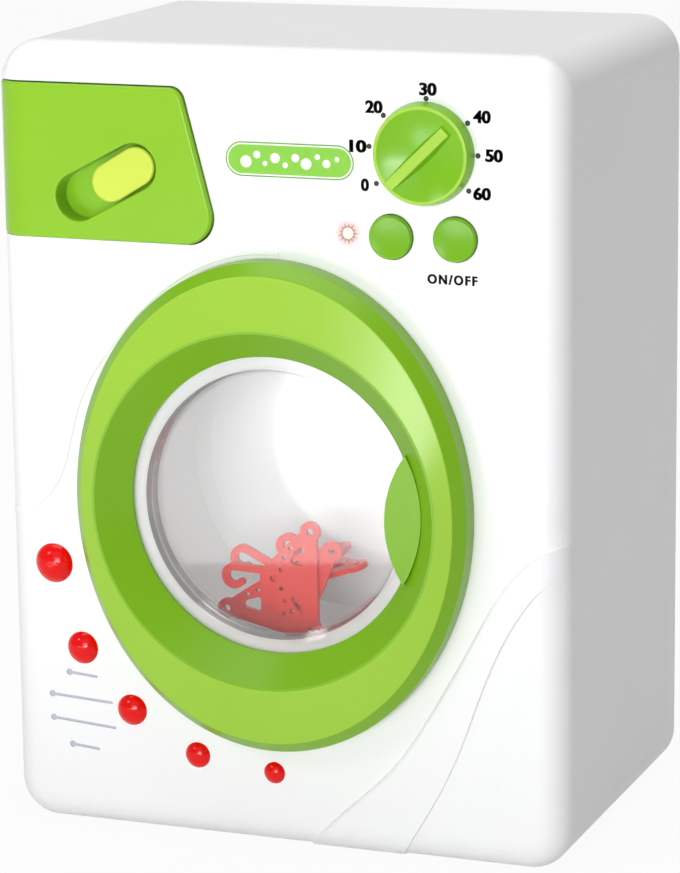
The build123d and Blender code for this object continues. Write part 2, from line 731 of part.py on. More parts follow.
with BuildPart() as battery_cover:
    with BuildSketch(facing(BACK_Y)):
        add(battery_door(SLIP))
    extrude(amount=WALL)
    add(disc(0, cover_screw_z, SCREW_R, INSIDE_BACK_Y - 1, BACK_Y + 1), mode=Mode.SUBTRACT)
    add(disc(0, cover_screw_z, head_hole_r, BACK_Y - head_depth, BACK_Y + 1), mode=Mode.SUBTRACT)
finish(battery_cover, "battery_cover")

with BuildPart() as battery_cover_screw:
    add(screw(0, cover_screw_z, BACK_Y - head_depth, 7))
finish(battery_cover_screw, "battery_cover_screw")

with BuildPart() as speaker:
    speaker_y = INSIDE_BACK_Y - TOUCH
    add(turned(SPEAKER_X, SPEAKER_Z, [
        (speaker_y, 0), (speaker_y, SPEAKER_R), (speaker_y - 1.2, SPEAKER_R), (speaker_y - 4.5, 9.5),
        (speaker_y - 4.5, 7.5), (speaker_y - 9.5, 7.5), (speaker_y - 9.5, 0),
    ]))
finish(speaker, "speaker")

# ---- bulkhead, gearbox and motor -----------------------------------------------------

second_centre = polar(DRUM_AXIS, CENTRES, GEAR_TURN)
first_centre = polar(second_centre, CENTRES, GEAR_TURN - 120)
motor_centre = polar(first_centre, CENTRES, GEAR_TURN - 120)
half_tooth = 180 / PINION_TEETH
case_post_places = [
    (x, z)
    for x in (CASE_LEFT_X + CASE_POST_IN, CASE_RIGHT_X - CASE_POST_IN)
    for z in (CASE_LOW_Z + CASE_POST_IN, CASE_HIGH_Z - CASE_POST_IN)
]
case_middle = ((CASE_LEFT_X + CASE_RIGHT_X) / 2, (CASE_LOW_Z + CASE_HIGH_Z) / 2)
case_w = CASE_RIGHT_X - CASE_LEFT_X
case_h = CASE_HIGH_Z - CASE_LOW_Z
bulkhead_top_z = GUIDE_FLOOR_Z - GUIDE_T - SLIP
gearbox_boss_y = DRUM_BACK_Y + 1.5

with BuildPart() as drum_bulkhead:
    with BuildSketch(facing(BULKHEAD_BACK_Y)):
        with Locations((0, (BULKHEAD_LOW_Z + bulkhead_top_z) / 2)):
            RectangleRounded(2 * BULKHEAD_HALF_W, bulkhead_top_z - BULKHEAD_LOW_Z, 5)
    extrude(amount=BULKHEAD_T)
    for x, z in case_post_places:
        add(disc(x, z, CASE_POST_R, gearbox_boss_y, BULKHEAD_Y))
        add(disc(x, z, SMALL_SCREW_R, gearbox_boss_y + 1, BULKHEAD_BACK_Y + 1), mode=Mode.SUBTRACT)
    for x, z in post_places:
        add(disc(x, z, SCREW_R, BULKHEAD_Y - 1, BULKHEAD_BACK_Y + 1), mode=Mode.SUBTRACT)
    add(disc(*DRUM_AXIS, BUSH_R, BULKHEAD_Y - 1, BULKHEAD_BACK_Y + 1), mode=Mode.SUBTRACT)
finish(drum_bulkhead, "drum_bulkhead")

with BuildPart() as bulkhead_screws:
    add(screws(post_places, BULKHEAD_BACK_Y, 12))
finish(bulkhead_screws, "bulkhead_screws")

with BuildPart() as shaft_bush:
    bush_front_y = BULKHEAD_Y - BUSH_FLANGE_T
    add(turned(*DRUM_AXIS, [
        (bush_front_y, SHAFT_R + RUN), (bush_front_y, BUSH_FLANGE_R), (BULKHEAD_Y, BUSH_FLANGE_R),
        (BULKHEAD_Y, BUSH_R), (CASE_INSIDE_Y, BUSH_R), (CASE_INSIDE_Y, SHAFT_R + RUN),
    ]))
finish(shaft_bush, "shaft_bush")

axle_front_y = CASE_INSIDE_Y - CASE_FLOOR_T + 0.5
with BuildPart() as gearbox_case:
    with BuildSketch(facing(LID_Y)):
        with Locations(case_middle):
            RectangleRounded(case_w + 2 * CASE_T, case_h + 2 * CASE_T, CASE_CORNER_R + CASE_T)
    extrude(amount=LID_Y - BULKHEAD_BACK_Y)
    with BuildSketch(facing(LID_Y)):
        with Locations(case_middle):
            RectangleRounded(case_w, case_h, CASE_CORNER_R)
    extrude(amount=LID_Y - CASE_INSIDE_Y, mode=Mode.SUBTRACT)
    for x, z in case_post_places:
        add(disc(x, z, CASE_POST_R, CASE_INSIDE_Y - 1, LID_Y))
        add(disc(x, z, SMALL_SCREW_R, BULKHEAD_BACK_Y - 1, LID_Y + 1), mode=Mode.SUBTRACT)
    add(disc(*DRUM_AXIS, BUSH_R, BULKHEAD_BACK_Y - 1, CASE_INSIDE_Y + 1), mode=Mode.SUBTRACT)
    for x, z in (second_centre, first_centre):
        add(disc(x, z, AXLE_R, axle_front_y, CASE_INSIDE_Y + 1), mode=Mode.SUBTRACT)
finish(gearbox_case, "gearbox_case")


def motor_section(grow):
    """Round motor with two flats, grown all round."""
    with BuildSketch() as section:
        with Locations(motor_centre):
            Circle(MOTOR_R + grow)
            Rectangle(MOTOR_FLAT + 2 * grow, 3 * MOTOR_R, mode=Mode.INTERSECT)
    return section.sketch


with BuildPart() as gearbox_lid:
    with BuildSketch(facing(LID_BACK_Y)):
        with Locations(case_middle):
            RectangleRounded(case_w + 2 * CASE_T, case_h + 2 * CASE_T, CASE_CORNER_R + CASE_T)
    extrude(amount=LID_T)
    with BuildSketch(facing(LID_BACK_Y + MOTOR_SLEEVE_L)):
        add(motor_section(TOUCH + MOTOR_SLEEVE_T))
        add(motor_section(TOUCH), mode=Mode.SUBTRACT)
    extrude(amount=MOTOR_SLEEVE_L)
    for x, z in case_post_places:
        add(disc(x, z, SMALL_SCREW_R, LID_Y - 1, LID_BACK_Y + 1), mode=Mode.SUBTRACT)
    for x, z in (second_centre, first_centre):
        add(disc(x, z, AXLE_R, LID_Y - 1, LID_BACK_Y + 1), mode=Mode.SUBTRACT)
    add(disc(*DRUM_AXIS, SHAFT_R + RUN, LID_Y - 1, LID_BACK_Y + 1), mode=Mode.SUBTRACT)
    add(disc(*motor_centre, MOTOR_BOSS_R + TOUCH, LID_Y - 1, LID_BACK_Y + 1), mode=Mode.SUBTRACT)
finish(gearbox_lid, "gearbox_lid")

with BuildPart() as gearbox_screws:
    screw_l = LID_BACK_Y - gearbox_boss_y - 1.5
    add(screws(case_post_places, LID_BACK_Y, screw_l, SMALL_SCREW_R, SMALL_HEAD_R))
finish(gearbox_screws, "gearbox_screws")

with BuildPart() as gear_axles:
    for x, z in (second_centre, first_centre):
        add(disc(x, z, AXLE_R, axle_front_y, LID_BACK_Y))
finish(gear_axles, "gear_axles")

with BuildPart() as motor_can:
    with BuildSketch(facing(LID_BACK_Y + MOTOR_L)):
        add(motor_section(0))
    extrude(amount=MOTOR_L)
    add(disc(*motor_centre, MOTOR_BOSS_R, LID_Y + TOUCH, LID_BACK_Y))
    add(disc(*motor_centre, MOTOR_SHAFT_R + RUN, LID_Y - 1, LID_BACK_Y + MOTOR_L - 2), mode=Mode.SUBTRACT)
finish(motor_can, "motor_can")

with BuildPart() as motor_shaft:
    add(disc(*motor_centre, MOTOR_SHAFT_R, WHEEL_C_Y, LID_BACK_Y + MOTOR_L - 2.5))
finish(motor_shaft, "motor_shaft")

with BuildPart() as motor_pinion:
    pinion_tooth = GEAR_TURN - 120 + 180 + half_tooth
    add(gear_disc(PINION_TEETH, PROFILE_SHIFT, motor_centre, pinion_tooth, WHEEL_C_Y, WHEEL_C_Y + WHEEL_W))
    add(disc(*motor_centre, MOTOR_SHAFT_R, WHEEL_C_Y - 1, LID_Y), mode=Mode.SUBTRACT)
finish(motor_pinion, "motor_pinion")


def double_gear(centre, wheel_tooth, pinion_tooth, pinion_y, wheel_y):
    """Wheel with a pinion in front of it and sleeves that reach both walls of the gearbox."""
    with BuildPart() as gear:
        add(gear_disc(WHEEL_TEETH, -PROFILE_SHIFT, centre, wheel_tooth, wheel_y, wheel_y + WHEEL_W))
        add(gear_disc(PINION_TEETH, PROFILE_SHIFT, centre, pinion_tooth, pinion_y, wheel_y))
        add(disc(*centre, HUB_SLEEVE_R, CASE_INSIDE_Y + SLIP, LID_Y - SLIP))
        add(disc(*centre, AXLE_R + RUN, CASE_INSIDE_Y, LID_Y), mode=Mode.SUBTRACT)
    return gear.part


with BuildPart() as first_gear:
    add(double_gear(first_centre, GEAR_TURN - 120, GEAR_TURN + 60 + half_tooth, WHEEL_B_Y, WHEEL_C_Y))
finish(first_gear, "first_gear")

with BuildPart() as second_gear:
    add(double_gear(second_centre, GEAR_TURN - 120, GEAR_TURN + 180 + half_tooth, WHEEL_A_Y, WHEEL_B_Y))
finish(second_gear, "second_gear")

with BuildPart() as drum_gear:
    add(gear_disc(WHEEL_TEETH, -PROFILE_SHIFT, DRUM_AXIS, GEAR_TURN, WHEEL_A_Y, WHEEL_A_Y + WHEEL_W))
    add(disc(*DRUM_AXIS, BUSH_R, CASE_INSIDE_Y + SLIP, WHEEL_A_Y))
    add(disc(*DRUM_AXIS, SHAFT_R, CASE_INSIDE_Y, LID_Y), mode=Mode.SUBTRACT)
finish(drum_gear, "drum_gear")

# ---- drum ----------------------------------------------------------------------------

drum_in = DRUM_R - DRUM_T
drum_bend = 4.0
with BuildPart() as drum:
    add(turned(*DRUM_AXIS, [
        (DRUM_FRONT_Y, DRUM_MOUTH_R), (DRUM_FRONT_Y, DRUM_R), (DRUM_BACK_Y - drum_bend, DRUM_R),
        (DRUM_BACK_Y, DRUM_R - drum_bend), (DRUM_BACK_Y, DRUM_HUB_R), (HUB_BACK_Y, DRUM_HUB_R),
        (HUB_BACK_Y, SHAFT_R), (SHAFT_FRONT_Y, SHAFT_R), (SHAFT_FRONT_Y, 0),
        (DRUM_BACK_Y - DRUM_T, 0), (DRUM_BACK_Y - DRUM_T, drum_in - drum_bend),
        (DRUM_BACK_Y - DRUM_T - drum_bend, drum_in), (DRUM_FRONT_Y + DRUM_T, drum_in),
        (DRUM_FRONT_Y + DRUM_T, DRUM_MOUTH_R),
    ]))
finish(drum, "drum")

with BuildPart() as drum_shaft:
    add(disc(*DRUM_AXIS, SHAFT_R, SHAFT_FRONT_Y, LID_BACK_Y + 0.6))
finish(drum_shaft, "drum_shaft")

flange_back_y = MOUTH_FLANGE_Y + MOUTH_T
with BuildPart() as mouth_ring:
    add(turned(*DRUM_AXIS, [
        (INSIDE_FRONT_Y + SLIP, DOOR_OPENING_R), (INSIDE_FRONT_Y + SLIP, DOOR_OPENING_R + MOUTH_T),
        (MOUTH_FLANGE_Y, DOOR_OPENING_R + MOUTH_T), (MOUTH_FLANGE_Y, MOUTH_FLANGE_R),
        (flange_back_y, MOUTH_FLANGE_R), (flange_back_y, DOOR_OPENING_R + MOUTH_T),
        (MOUTH_TUBE_BACK_Y, DOOR_OPENING_R + MOUTH_T), (MOUTH_TUBE_BACK_Y, DOOR_OPENING_R),
    ]))
    for x, z in mouth_post_places:
        add(disc(x, z, MOUTH_EAR_PAD_R, MOUTH_FLANGE_Y, flange_back_y))
    for x, z in mouth_post_places:
        add(disc(x, z, SMALL_SCREW_R, MOUTH_FLANGE_Y - 1, flange_back_y + 1), mode=Mode.SUBTRACT)
finish(mouth_ring, "mouth_ring")

with BuildPart() as mouth_ring_screws:
    add(screws(mouth_post_places, flange_back_y, 6, SMALL_SCREW_R, SMALL_HEAD_R))
finish(mouth_ring_screws, "mouth_ring_screws")

# ---- door ----------------------------------------------------------------------------

cone_slope = (CREST_R - CREST_W - HOLE_R) / (CREST_OUT - HOLE_OUT)
cone_wall = RING_WALL * (1 + cone_slope ** 2) ** 0.5
door_screw_places = [(x * DOOR_SCREW_X, DOOR_Z + z * DOOR_SCREW_Z) for x in (-1, 1) for z in (-1, 1)]
lug_gap = 0.4
# how far up and down the oval reaches past the hinge line
overhang_half = RING_RZ * (1 - (HINGE_X / RING_RX) ** 2) ** 0.5 + RING_DROP + 1


def oval_step(rx, rz, y, next_rx, next_rz, next_y):
    """Slanting body between two upright ovals round the middle of the ring."""
    with BuildPart() as body:
        with BuildSketch(facing(y)):
            with Locations(RING_MIDDLE):
                Ellipse(rx, rz)
        with BuildSketch(facing(next_y)):
            with Locations(RING_MIDDLE):
                Ellipse(next_rx, next_rz)
        loft()
    return body.part


def dome_step(rx, rz, y, crest_y):
    """Slanting body from an upright oval to the round crest."""
    with BuildPart() as body:
        with BuildSketch(facing(y)):
            with Locations(RING_MIDDLE):
                Ellipse(rx, rz)
        with BuildSketch(facing(crest_y)):
            with Locations(DRUM_AXIS):
                Circle(CREST_R)
        loft()
    return body.part


with BuildPart() as ring_cavity:
    hollow_rx = RING_RX - RING_WALL
    hollow_rz = RING_RZ - RING_WALL
    rim_under_y = RIM_Y + RING_SKIN
    shoulder_under_y = SHOULDER_Y + RING_SKIN
    shoulder_under = (SHOULDER_RX - RING_SKIN, SHOULDER_RZ - RING_SKIN)
    with BuildSketch(facing(RING_BACK_Y + 1)):
        with Locations(RING_MIDDLE):
            Ellipse(hollow_rx, hollow_rz)
    extrude(amount=RING_BACK_Y + 1 - rim_under_y)
    add(oval_step(hollow_rx, hollow_rz, rim_under_y, *shoulder_under, shoulder_under_y))
    add(dome_step(*shoulder_under, shoulder_under_y, CREST_Y + 1.2 * RING_WALL))
    add(
        turned(*DRUM_AXIS, [
            (LIP_BACK_Y, 0), (LIP_BACK_Y, HOLE_R - cone_slope * LIP_T + cone_wall),
            (CREST_Y, CREST_R - CREST_W + cone_wall), (CREST_Y, 0),
        ]),
        mode=Mode.SUBTRACT,
    )

with BuildPart() as hinge_relief:
    with Locations((HINGE_X - 10, HINGE_Y + 6, DOOR_Z)):
        Box(20, 12, 2 * overhang_half)
    with Locations((HINGE_X, HINGE_Y, DOOR_Z)):
        Cylinder(HINGE_SWEEP_R, 2 * overhang_half + 2, mode=Mode.SUBTRACT)

with BuildPart() as door_ring:
    with BuildSketch(facing(RING_BACK_Y)):
        with Locations(RING_MIDDLE):
            Ellipse(RING_RX, RING_RZ)
    extrude(amount=RING_BACK_Y - RIM_Y)
    add(oval_step(RING_RX, RING_RZ, RIM_Y, SHOULDER_RX, SHOULDER_RZ, SHOULDER_Y))
    add(dome_step(SHOULDER_RX, SHOULDER_RZ, SHOULDER_Y, CREST_Y))
    oval_edges = door_ring.edges().filter_by(GeomType.ELLIPSE).sort_by(Axis.Y)
    fillet(oval_edges[0], SHOULDER_SOFT_R)
    oval_edges = door_ring.edges().filter_by(GeomType.ELLIPSE).sort_by(Axis.Y)
    rim_edge = oval_edges.filter_by(lambda e: abs(e.center().Y - RIM_Y) < 0.1)
    fillet(rim_edge, RIM_SOFT_R)
    add(
        turned(*DRUM_AXIS, [
            (CREST_Y - 1, 0), (CREST_Y - 1, CREST_R - CREST_W + cone_slope),
            (HOLE_Y, HOLE_R), (LIP_BACK_Y + 1, HOLE_R), (LIP_BACK_Y + 1, 0),
        ]),
        mode=Mode.SUBTRACT,
    )
    add(ring_cavity.part, mode=Mode.SUBTRACT)
    with BuildSketch(facing(HOLE_Y)):
        with BuildLine():
            ThreePointArc((46.5, DOOR_Z + 20.6), (39.5, DOOR_Z + 1.5), (45.5, DOOR_Z - 21.2))
            ThreePointArc((46.5, DOOR_Z + 20.6), (51.6, DOOR_Z), (45.5, DOOR_Z - 21.2))
        make_face()
    extrude(amount=GRIP_TAB_OUT - HOLE_OUT)
    for x, z in door_screw_places:
        add(disc(x, z, BOARD_POST_R, SHOULDER_Y + TOUCH, BACK_RING_FRONT_Y))
    with Locations((HINGE_X, HINGE_Y, DOOR_Z)):
        Cylinder(BARREL_R, 2 * BARREL_HALF)
    add(hinge_relief.part, mode=Mode.SUBTRACT)
    for side in (-1, 1):
        lug_z = DOOR_Z + side * LUG_Z
        with Locations((HINGE_X - 4, HINGE_Y - LUG_R - SLIP + 6, lug_z)):
            Box(14, 12, LUG_H + 2 * lug_gap, mode=Mode.SUBTRACT)
        with Locations((HINGE_X, HINGE_Y, lug_z)):
            Cylinder(HINGE_PIN_R + RUN, HINGE_PIN_L + 2 * SLIP, mode=Mode.SUBTRACT)
    for x, z in door_screw_places:
        add(disc(x, z, SMALL_SCREW_R, RIM_Y, BACK_RING_FRONT_Y + 1), mode=Mode.SUBTRACT)
finish(door_ring, "door_ring")

with BuildPart() as door_hinge_pins:
    with Locations((HINGE_X, HINGE_Y, DOOR_Z - LUG_Z), (HINGE_X, HINGE_Y, DOOR_Z + LUG_Z)):
        Cylinder(HINGE_PIN_R, HINGE_PIN_L)
finish(door_hinge_pins, "door_hinge_pins")

door_head_depth = 1.2
door_head_y = RING_BACK_Y - door_head_depth
with BuildPart() as door_back_ring:
    with BuildSketch(facing(RING_BACK_Y)):
        with Locations(RING_MIDDLE):
            Ellipse(hollow_rx - SLIP, hollow_rz - SLIP)
        with Locations(DRUM_AXIS):
            Circle(HOLE_R + SLIP, mode=Mode.SUBTRACT)
        with Locations((HINGE_X - 6, DOOR_Z)):
            Rectangle(12, 2 * overhang_half, mode=Mode.SUBTRACT)
            Rectangle(2 * (6 + BARREL_R + 0.6), 2 * BARREL_HALF + 2, mode=Mode.SUBTRACT)
    extrude(amount=BACK_RING_T)
    add(
        disc(*DRUM_AXIS, WINDOW_FLANGE_R + SLIP, BACK_RING_FRONT_Y - 1, FLANGE_BACK_Y + TOUCH),
        mode=Mode.SUBTRACT,
    )
    with Locations((TONGUE_X, RING_BACK_Y + TONGUE_L / 2 - 0.5, DOOR_Z)):
        Box(TONGUE_T, TONGUE_L + 1, TONGUE_H)
    for x, z in door_screw_places:
        add(disc(x, z, SMALL_SCREW_R, BACK_RING_FRONT_Y - 1, RING_BACK_Y + 1), mode=Mode.SUBTRACT)
        add(disc(x, z, SMALL_HEAD_R + SLIP, door_head_y, RING_BACK_Y + 1), mode=Mode.SUBTRACT)
finish(door_back_ring, "door_back_ring")

with BuildPart() as door_screws:
    add(screws(door_screw_places, door_head_y, 5.4, SMALL_SCREW_R, SMALL_HEAD_R))
finish(door_screws, "door_screws")

pane_y = FRONT_Y + PANE_IN
with BuildPart() as door_window:
    add(turned(*DRUM_AXIS, [
        (LIP_BACK_Y, WINDOW_FLANGE_R), (FLANGE_BACK_Y, WINDOW_FLANGE_R),
        (FLANGE_BACK_Y, PAN_MOUTH_R + WINDOW_T), (pane_y + WINDOW_T, PANE_R + WINDOW_T),
        (pane_y + WINDOW_T, 0), (pane_y, 0), (pane_y, PANE_R), (LIP_BACK_Y, PAN_MOUTH_R),
    ]))
finish(door_window, "door_window")

catch_left_x = TONGUE_X - TONGUE_T / 2 - SLIP
catch_right_x = TONGUE_X + TONGUE_T / 2 + TONGUE_SWING
with BuildPart() as door_catch:
    with Locations(((catch_left_x + catch_right_x) / 2, INSIDE_FRONT_Y + CATCH_D / 2, DOOR_Z)):
        Box(catch_right_x - catch_left_x + 2 * CATCH_ARM, CATCH_D, TONGUE_H)
    with Locations(((catch_left_x + catch_right_x) / 2, INSIDE_FRONT_Y + CATCH_D / 2 - CATCH_ARM, DOOR_Z)):
        Box(catch_right_x - catch_left_x, CATCH_D, TONGUE_H + 2, mode=Mode.SUBTRACT)
finish(door_catch, "door_catch")

# ---- soap drawer ---------------------------------------------------------------------

drawer_back_y = FRONT_Y + DRAWER_WRAP - GUIDE_GAP
drawer_skin_y = DRAWER_FRONT_Y + DRAWER_SKIN
drawer_screw_places = ((TRAY_LEFT_X + 6, TRAY_LOW_Z + TRAY_H - 4), (TRAY_RIGHT_X - 4, TRAY_LOW_Z + 4.5))
grip_middle, grip_length, grip_slant = slot_between(GRIP_LEFT, GRIP_RIGHT)
pad_middle, pad_length, pad_slant = slot_between(PAD_LEFT, GRIP_RIGHT)
pocket_y = DRAWER_FRONT_Y + GRIP_DEPTH
drawer_corner_r = FRONT_EDGE_R + DRAWER_OUT

with BuildPart() as drawer_hollow:
    with BuildSketch(facing(drawer_back_y + 1)):
        add(drawer_outline(-DRAWER_SKIN))
    extrude(amount=drawer_back_y + 1 - drawer_skin_y)
    inner_upright = drawer_hollow.edges().filter_by(Axis.Z).group_by(Axis.X)[0].sort_by(Axis.Y)[0]
    fillet(inner_upright, drawer_corner_r - DRAWER_SKIN)

with BuildPart() as drawer_front:
    with BuildSketch(facing(drawer_back_y)):
        add(drawer_outline(0))
    extrude(amount=drawer_back_y - DRAWER_FRONT_Y)
    upright = drawer_front.edges().filter_by(Axis.Z).group_by(Axis.X)[0].sort_by(Axis.Y)[0]
    fillet(upright, drawer_corner_r)
    outside = drawer_front.edges().filter_by(lambda e: e.center().Y < drawer_back_y - 1)
    outside = outside.filter_by(Axis.Z, reverse=True)
    outside = outside.filter_by(lambda e: e.center().X < DRAWER_LEFT_X + 1 or e.center().Y < FRONT_Y)
    fillet(outside, DRAWER_EDGE_R)
    add(drawer_hollow.part, mode=Mode.SUBTRACT)
    with Locations((0, DRAWER_FRONT_Y + DRAWER_RIM_D, (DRAWER_LOW_Z + DRAWER_TOP_Z) / 2)):
        Box(
            2 * (-DRAWER_LEFT_X - DRAWER_SKIN), 2 * DRAWER_WRAP, 60,
            align=(Align.CENTER, Align.MIN, Align.CENTER), mode=Mode.SUBTRACT,
        )
    with BuildSketch(facing(pocket_y + GRIP_WALL)):
        with Locations(grip_middle):
            SlotCenterToCenter(grip_length, 2 * (GRIP_R + GRIP_WALL), rotation=grip_slant)
    extrude(amount=pocket_y + GRIP_WALL - DRAWER_FRONT_Y - 1)
    for x, z in drawer_screw_places:
        add(disc(x, z, BOARD_POST_R, DRAWER_FRONT_Y + 1, TRAY_FRONT_Y))
    with BuildSketch(facing(pocket_y)):
        with Locations(grip_middle):
            SlotCenterToCenter(grip_length, 2 * GRIP_R, rotation=grip_slant)
    extrude(amount=GRIP_DEPTH + 1, mode=Mode.SUBTRACT)
    fillet(drawer_front.faces().sort_by(Axis.Y)[0].inner_wires()[0].edges(), GRIP_SOFT_R)
    for x, z in drawer_screw_places:
        add(disc(x, z, SMALL_SCREW_R, TRAY_FRONT_Y - 7, TRAY_FRONT_Y + 1), mode=Mode.SUBTRACT)
finish(drawer_front, "drawer_front")

with BuildPart() as drawer_grip:
    with BuildSketch(facing(DRAWER_FRONT_Y + PAD_SUNK + PAD_T)):
        with Locations(pad_middle):
            SlotCenterToCenter(pad_length, 2 * PAD_R, rotation=pad_slant)
    extrude(amount=PAD_T)
    fillet(drawer_grip.faces().sort_by(Axis.Y)[0].edges(), 0.8)
    add(disc(*GRIP_RIGHT, PAD_STEM_R, DRAWER_FRONT_Y + PAD_SUNK + 1, pocket_y))
finish(drawer_grip, "drawer_grip")

tray_middle_x = (TRAY_LEFT_X + TRAY_RIGHT_X) / 2
tray_w = TRAY_RIGHT_X - TRAY_LEFT_X
tray_l = TRAY_BACK_Y - TRAY_FRONT_Y
stop_y = TRAY_BACK_Y - 3.5
low_end = (Align.CENTER, Align.MIN, Align.MIN)
with BuildPart() as drawer_tray:
    with Locations((tray_middle_x, TRAY_FRONT_Y, TRAY_LOW_Z)):
        Box(tray_w, tray_l, TRAY_H, align=low_end)
    with Locations((tray_middle_x, TRAY_FRONT_Y + TRAY_T, TRAY_LOW_Z + TRAY_T)):
        Box(tray_w - 2 * TRAY_T, tray_l - 2 * TRAY_T, TRAY_H, align=low_end, mode=Mode.SUBTRACT)
    with Locations((STOP_X, stop_y, TRAY_LOW_Z)):
        Box(STOP_W, STOP_L, 2 * (GUIDE_T - TOUCH))
    for x, z in drawer_screw_places:
        add(disc(x, z, SMALL_SCREW_R, TRAY_FRONT_Y - 1, TRAY_FRONT_Y + TRAY_T + 1), mode=Mode.SUBTRACT)
finish(drawer_tray, "drawer_tray")

with BuildPart() as drawer_screws:
    add(screws(drawer_screw_places, TRAY_FRONT_Y + TRAY_T, 7, SMALL_SCREW_R, SMALL_HEAD_R))
finish(drawer_screws, "drawer_screws")

guide_front_y = pocket_y + GRIP_WALL + SLIP
guide_inner_w = tray_w + 2 * GUIDE_GAP
guide_l = GUIDE_BACK_Y - guide_front_y
with BuildPart() as drawer_guide:
    with Locations((tray_middle_x, guide_front_y, GUIDE_FLOOR_Z - GUIDE_T)):
        Box(guide_inner_w + 2 * GUIDE_T, guide_l, GUIDE_T + GUIDE_WALL_H, align=low_end)
    with Locations((tray_middle_x, guide_front_y - 1, GUIDE_FLOOR_Z)):
        Box(guide_inner_w, guide_l + 1 - GUIDE_T, GUIDE_WALL_H + 1, align=low_end, mode=Mode.SUBTRACT)
    with Locations((STOP_X, stop_y - DRAWER_TRAVEL / 2, GUIDE_FLOOR_Z)):
        Box(STOP_W + 2 * SLIP, DRAWER_TRAVEL + STOP_L + 2 * SLIP, 3 * GUIDE_T, mode=Mode.SUBTRACT)
    for x, z in guide_post_places:
        ear_low_z = z - GUIDE_POST_R - 1
        with Locations((x, GUIDE_POST_Y, ear_low_z)):
            Box(2 * GUIDE_POST_R + 2, GUIDE_EAR_T, GUIDE_FLOOR_Z - GUIDE_T / 2 - ear_low_z, align=low_end)
        add(disc(x, z, SCREW_R, GUIDE_POST_Y - 1, GUIDE_POST_Y + GUIDE_EAR_T + 1), mode=Mode.SUBTRACT)
finish(drawer_guide, "drawer_guide")

with BuildPart() as guide_screws:
    add(screws(guide_post_places, GUIDE_POST_Y + GUIDE_EAR_T, 10))
finish(guide_screws, "guide_screws")

# ---- dial ----------------------------------------------------------------------------

dial_back_y = FRONT_Y - DIAL_GAP
dial_front_y = FRONT_Y - DIAL_OUT
dish_y = dial_front_y + DIAL_DISH
dish_back_y = dish_y + DIAL_WALL
stem_end_y = ratchet_front_y + RATCHET_T + TOUCH
dish_r = DIAL_FRONT_R - DIAL_RIM
pointer_back = DIAL_FRONT_R * 0.72

with BuildPart() as pointer:
    with BuildSketch(facing(dial_front_y)):
        with Locations(polar((DIAL_X, DIAL_Z), (dish_r - pointer_back) / 2, DIAL_ZERO)):
            Rectangle(dish_r + pointer_back, POINTER_TOP_W, rotation=DIAL_ZERO)
    with BuildSketch(facing(dish_y + DIAL_WALL / 2)):
        with Locations((DIAL_X, DIAL_Z)):
            Rectangle(2 * dish_r - 1, POINTER_FOOT_W, rotation=DIAL_ZERO)
    loft()
    fillet(pointer.faces().sort_by(Axis.Y)[0].edges(), POINTER_SOFT_R)

with BuildPart() as dial_knob:
    with BuildSketch(across(DIAL_X, DIAL_Z)):
        with BuildLine():
            Polyline(
                (dish_y, 0), (stem_end_y, 0), (stem_end_y, DIAL_STEM_R), (dish_back_y, DIAL_STEM_R),
                (dish_back_y, DIAL_R - DIAL_WALL), (dial_back_y, DIAL_R - DIAL_WALL), (dial_back_y, DIAL_R),
                (dial_front_y + DIAL_SOFT_R, DIAL_FRONT_R),
            )
            rounded_corner(dial_front_y, DIAL_FRONT_R, DIAL_SOFT_R)
            Line((dial_front_y, DIAL_FRONT_R - DIAL_SOFT_R), (dial_front_y, dish_r))
            ThreePointArc((dial_front_y, dish_r), (dish_y - 0.25 * DIAL_DISH, dish_r * 0.5), (dish_y, 0))
        make_face()
    revolve(axis=Axis((DIAL_X, 0, DIAL_Z), (0, 1, 0)))
    add(pointer.part)
    add(disc(DIAL_X, DIAL_Z, SCREW_R, dish_back_y, stem_end_y + 1), mode=Mode.SUBTRACT)
finish(dial_knob, "dial_knob")

with BuildPart() as dial_ratchet:
    with BuildSketch(facing(ratchet_front_y + RATCHET_T)):
        with Locations((DIAL_X, DIAL_Z)):
            Circle(RATCHET_R)
            Circle(DIAL_STEM_R, mode=Mode.SUBTRACT)
            with PolarLocations(RATCHET_R + RATCHET_NOTCH_R / 2, RATCHET_NOTCHES):
                Circle(RATCHET_NOTCH_R, mode=Mode.SUBTRACT)
    extrude(amount=RATCHET_T)
finish(dial_ratchet, "dial_ratchet")

with BuildPart() as dial_screw:
    add(screw(DIAL_X, DIAL_Z, stem_end_y, 6, SCREW_R, DIAL_STEM_R + 1.4))
finish(dial_screw, "dial_screw")

with BuildPart() as dial_click_spring:
    with Locations((DIAL_X, ratchet_front_y + RATCHET_T / 2, leaf_low_z + LEAF_T / 2)):
        Box(2 * LEAF_HALF + LEAF_HOLDER, RATCHET_T - 2 * TOUCH, LEAF_T)
    with Locations(Location((DIAL_X, ratchet_front_y + RATCHET_T / 2, leaf_low_z), (90, 0, 0))):
        Cylinder(RATCHET_NOTCH_R, RATCHET_T - 2 * TOUCH)
finish(dial_click_spring, "dial_click_spring")

# ---- push buttons, front lamp and board ----------------------------------------------

button_front_y = FRONT_Y - BUTTON_OUT
flange_y = INSIDE_FRONT_Y + TOUCH
stem_y = BOARD_Y - DOME_H - TOUCH
cap_in_y = button_front_y + BUTTON_SKIN
cap_in_r = BUTTON_R - BUTTON_SKIN


